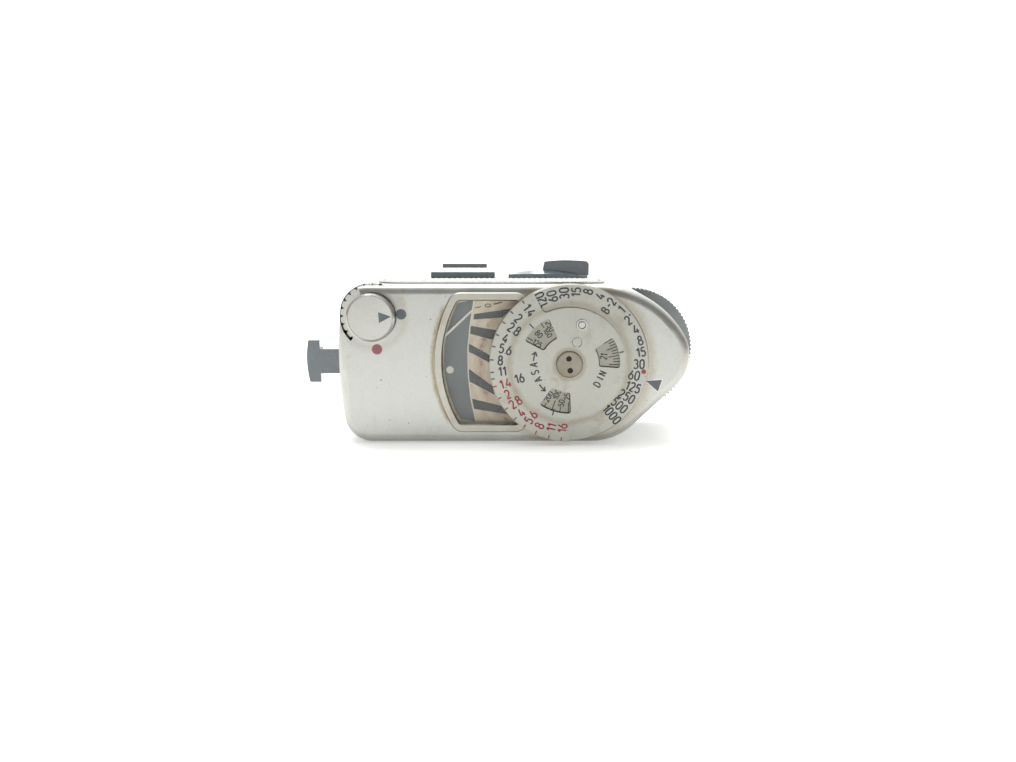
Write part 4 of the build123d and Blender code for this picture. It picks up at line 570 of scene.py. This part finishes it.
# marks on the case and on the knob
rangeDots = {"radius": 1.08, "black": (-21.9, 27.35), "red": (-27.05, 20.11), "proud": 0.03, "thick": 0.06}
indexWedge = {"face": [(28.57, 13.46), (31.89, 13.67), (31.15, 11.21)], "rim": [(28.15, 13.52), (32.12, 13.93), (31.25, 10.93)]}
for name, colour, finish in (("rangeDotBlack", "black", "greyBlackEnamel"), ("rangeDotRed", "red", "redEnamel")):
    outlinePlate(name, [circlePoints(*rangeDots[colour], rangeDots["radius"])], -rangeDots["proud"], rangeDots["thick"],
                 finish, "housing")
outlinePlate("indexWedge", [indexWedge["face"]], -0.04, 0.08, "greyBlackEnamel", "housing")
outlinePlate("indexWedgeRim", [indexWedge["rim"]], -0.02, 0.04, "scaleWhite", "housing")
knobAt = (-27.85, 26.88)
knobFront = -2.5
knobArrow = {"outline": [(4.25, 0.0), (1.75, 1.1), (1.75, -1.1)], "turn": 4, "proud": 0.03, "thick": 0.06}
turn = math.radians(knobArrow["turn"])
turned = [(knobAt[0] + u * math.cos(turn) - v * math.sin(turn), knobAt[1] + u * math.sin(turn) + v * math.cos(turn))
          for u, v in knobArrow["outline"]]
outlinePlate("knobArrow", [turned], knobFront - knobArrow["proud"], knobArrow["thick"], "greyBlackEnamel", "knob")


def ringStroke(x, z, r, start=0, end=360):
    return sweepArc(x, z, r, r, start, end, 49)


strokePiece("knobGroove", [ringStroke(*knobAt, 4.5)], knobFront, 0.1, "paintedGrooveShade", "knob", 0.02)
strokePiece("lockPinGroove", [ringStroke(*onDial(8.45, 73.6), 0.72)], -2.45, 0.16, "paintedGrooveShade", "lock", 0.02)
stampArcs = [ringStroke(*onDial(4.75, 72), 0.98, start, end) for start, end in ((70, 250), (285, 420))]  # painted shade standing in for the stamped ring's low relief, broken in two places
strokePiece("plateStamp", stampArcs, plateFront - 0.08, 0.12, "paintedGrooveShade", "plate", 0.02)
print("case marks made")

# printed scale behind the window
scaleFront = 1.7


def onScale(name, outlines, material, lift=0.03):
    return outlinePlate(name, outlines, scaleFront - lift, 0.02 + lift, material, "housing")


# the grey mask ends on an arc through its three corners
boundary = [(-7.10, 30.05), (-7.92, 25.0), (-8.43, 20.0), (-8.43, 15.0), (-7.98, 9.6), (-6.92, 4.30)]
maskRadius = 25.9  # the mask's left edge, an arc about the dial's centre
maskLeft = [(dial["x"] - maskRadius * math.cos(math.radians(t)), dial["z"] + maskRadius * math.sin(math.radians(t)))
            for t in range(-29, 30, 3)]
onScale("scaleMask", [boundary + maskLeft], "scaleGrey", 0.02)
strokePiece("scaleMaskLine", [boundary], scaleFront - 0.03, 0.22, "scaleWhite", "housing")
onScale("scaleStripes", [[(-7.07, 27.18), (0.45, 28.27), (-1.19, 26.49), (-7.22, 26.07)],
                         [(-7.78, 24.75), (-2.57, 23.86), (-3.26, 21.85), (-7.93, 23.08)],
                         [(-8.23, 21.07), (-3.56, 18.40), (-3.70, 16.84), (-8.25, 19.33)],
                         [(-8.29, 15.71), (-3.31, 11.99), (-2.90, 10.12), (-8.19, 13.00)],
                         [(-7.67, 9.25), (-0.10, 7.37), (1.03, 5.62), (-7.27, 7.08)]], "scaleDark")
onScale("scaleWhiteDot", [circlePoints(-12.22, 15.47, 0.78, 24)], "scaleWhite", 0.05)
# a white diagonal line drawn across the grey mask
strokePiece("scaleWhiteDiagonal", [[(-13.25, 22.59), (-7.65, 27.85)]], scaleFront - 0.05, 0.34, "scaleWhite", "housing")
strokePiece("scaleZeroDash", [[(-6.89, 28.47), (-5.60, 28.72)]], scaleFront, 0.24, "blackInk", "housing")
lettering("scaleZero", [("0", -4.2, 28.98, 90, 1.15, 0.9)], scaleFront, "blackInk", "housing", 0.22)
strokePiece("scaleRedArrow", [[(-3.01, 29.21), (-1.29, 29.65)]], scaleFront, 0.3, "redInk", "housing")
print("scale printed")

# moulded honeycomb on the cell's glass
lensDome = {"pitch": 1.15, "radius": 0.64, "rise": 0.55, "sunk": 0.02, "edge": 0.5, "cutBelow": 0.2}  # mm, rise is a share
lensLow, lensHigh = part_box("cell_lens")
lensMid = (Vector(lensLow) + Vector(lensHigh)) / 2
endRadius = (lensHigh[1] - lensLow[1]) / 2
halfStraight = (lensHigh[0] - lensLow[0]) / 2 - endRadius
pitch = lensDome["pitch"] * mm
rowStep = pitch * math.sqrt(3) / 2
bm = bmesh.new()
for row in range(-4, 5):
    for column in range(-22, 23):
        x = pitch * (column + 0.5 * (row % 2))
        y = row * rowStep
        if math.hypot(max(abs(x) - halfStraight, 0), y) > endRadius - lensDome["edge"] * mm:
            continue
        spot = Matrix.Translation((lensMid.x + x, lensMid.y + y, lensHigh[2] - lensDome["sunk"] * mm))
        squash = Matrix.Diagonal((1, 1, lensDome["rise"], 1))
        bmesh.ops.create_uvsphere(bm, u_segments=6, v_segments=4, radius=lensDome["radius"] * mm, matrix=spot @ squash)
below = [v for v in bm.verts if v.co.z < lensHigh[2] - lensDome["cutBelow"] * mm]
bmesh.ops.delete(bm, geom=below, context="VERTS")
newPiece("cellLensDomes", bm, "pressedGlass", "housing", smooth=True)
print("lens domes made")

# stage, light and camera
floorMesh = bpy.data.meshes.new("floor")
bm = bmesh.new()
bmesh.ops.create_grid(bm, x_segments=1, y_segments=1, size=3.0)
bm.to_mesh(floorMesh)
bm.free()
floor = bpy.data.objects.new("floor", floorMesh)
bpy.context.scene.collection.objects.link(floor)
# matt white paper, with a little glow so that it stays white far from the lamp
floorMat = startMaterial("whitePaper", Base_Color=hexToLinear("#f4f4f2"), Roughness=0.9, Emission_Color=hexToLinear("#fffffd"),
                         Emission_Strength=0.32)[0]
floorMesh.materials.append(floorMat)

world = bpy.data.worlds.new("studio")
bpy.context.scene.world = world
world.use_nodes = True
back = world.node_tree.nodes["Background"]
back.inputs["Color"].default_value = hexToLinear("#fdfdfb")
# a paper tent: bright overhead and behind, dim in front of the meter, so its face keeps some tone
sky = addNode(world.node_tree, "ShaderNodeTexCoord")
toward = addNode(world.node_tree, "ShaderNodeVectorMath", {"operation": "DOT_PRODUCT"}, {0: sky.outputs["Generated"]})
toward.inputs[1].default_value = (0.0, 0.75, 0.66)
tent = addNode(world.node_tree, "ShaderNodeMapRange", {"From Min": 0.12, "From Max": 0.9, "To Min": 0.40, "To Max": 1.9},
               {"Value": toward.outputs["Value"]})
world.node_tree.links.new(tent.outputs[0], back.inputs["Strength"])


def areaLight(name, at, aim, size, watts, colour="#ffffff"):
    data = bpy.data.lights.new(name, "AREA")
    data.shape = "RECTANGLE"
    data.size, data.size_y = size
    data.energy = watts
    data.color = hexToLinear(colour)[:3]
    lamp = bpy.data.objects.new(name, data)
    lamp.location = at
    lamp.rotation_mode = "QUATERNION"
    lamp.rotation_quaternion = (Vector(aim) - Vector(at)).to_track_quat("-Z", "Y")
    bpy.context.scene.collection.objects.link(lamp)


lamp = {"at": (-0.03, 0.11, 0.37), "aim": (0, 0, 0.02), "size": (0.34, 0.26), "watts": 1.55}
areaLight("overhead", lamp["at"], lamp["aim"], lamp["size"], lamp["watts"])
camData = bpy.data.cameras.new("camera")
camera = {"at": (-0.08, -156.0, 46.6), "tilt": 78, "lens": 27.2}  # mm, degrees, mm
camData.lens = camera["lens"]
camData.clip_start = 0.005
cam = bpy.data.objects.new("camera", camData)
cam.location = place(*camera["at"])
cam.rotation_euler = (math.radians(camera["tilt"]), 0, 0)
bpy.context.scene.collection.objects.link(cam)
bpy.context.scene.camera = cam
bpy.context.scene.view_settings.view_transform = "Standard"
print("stage made")
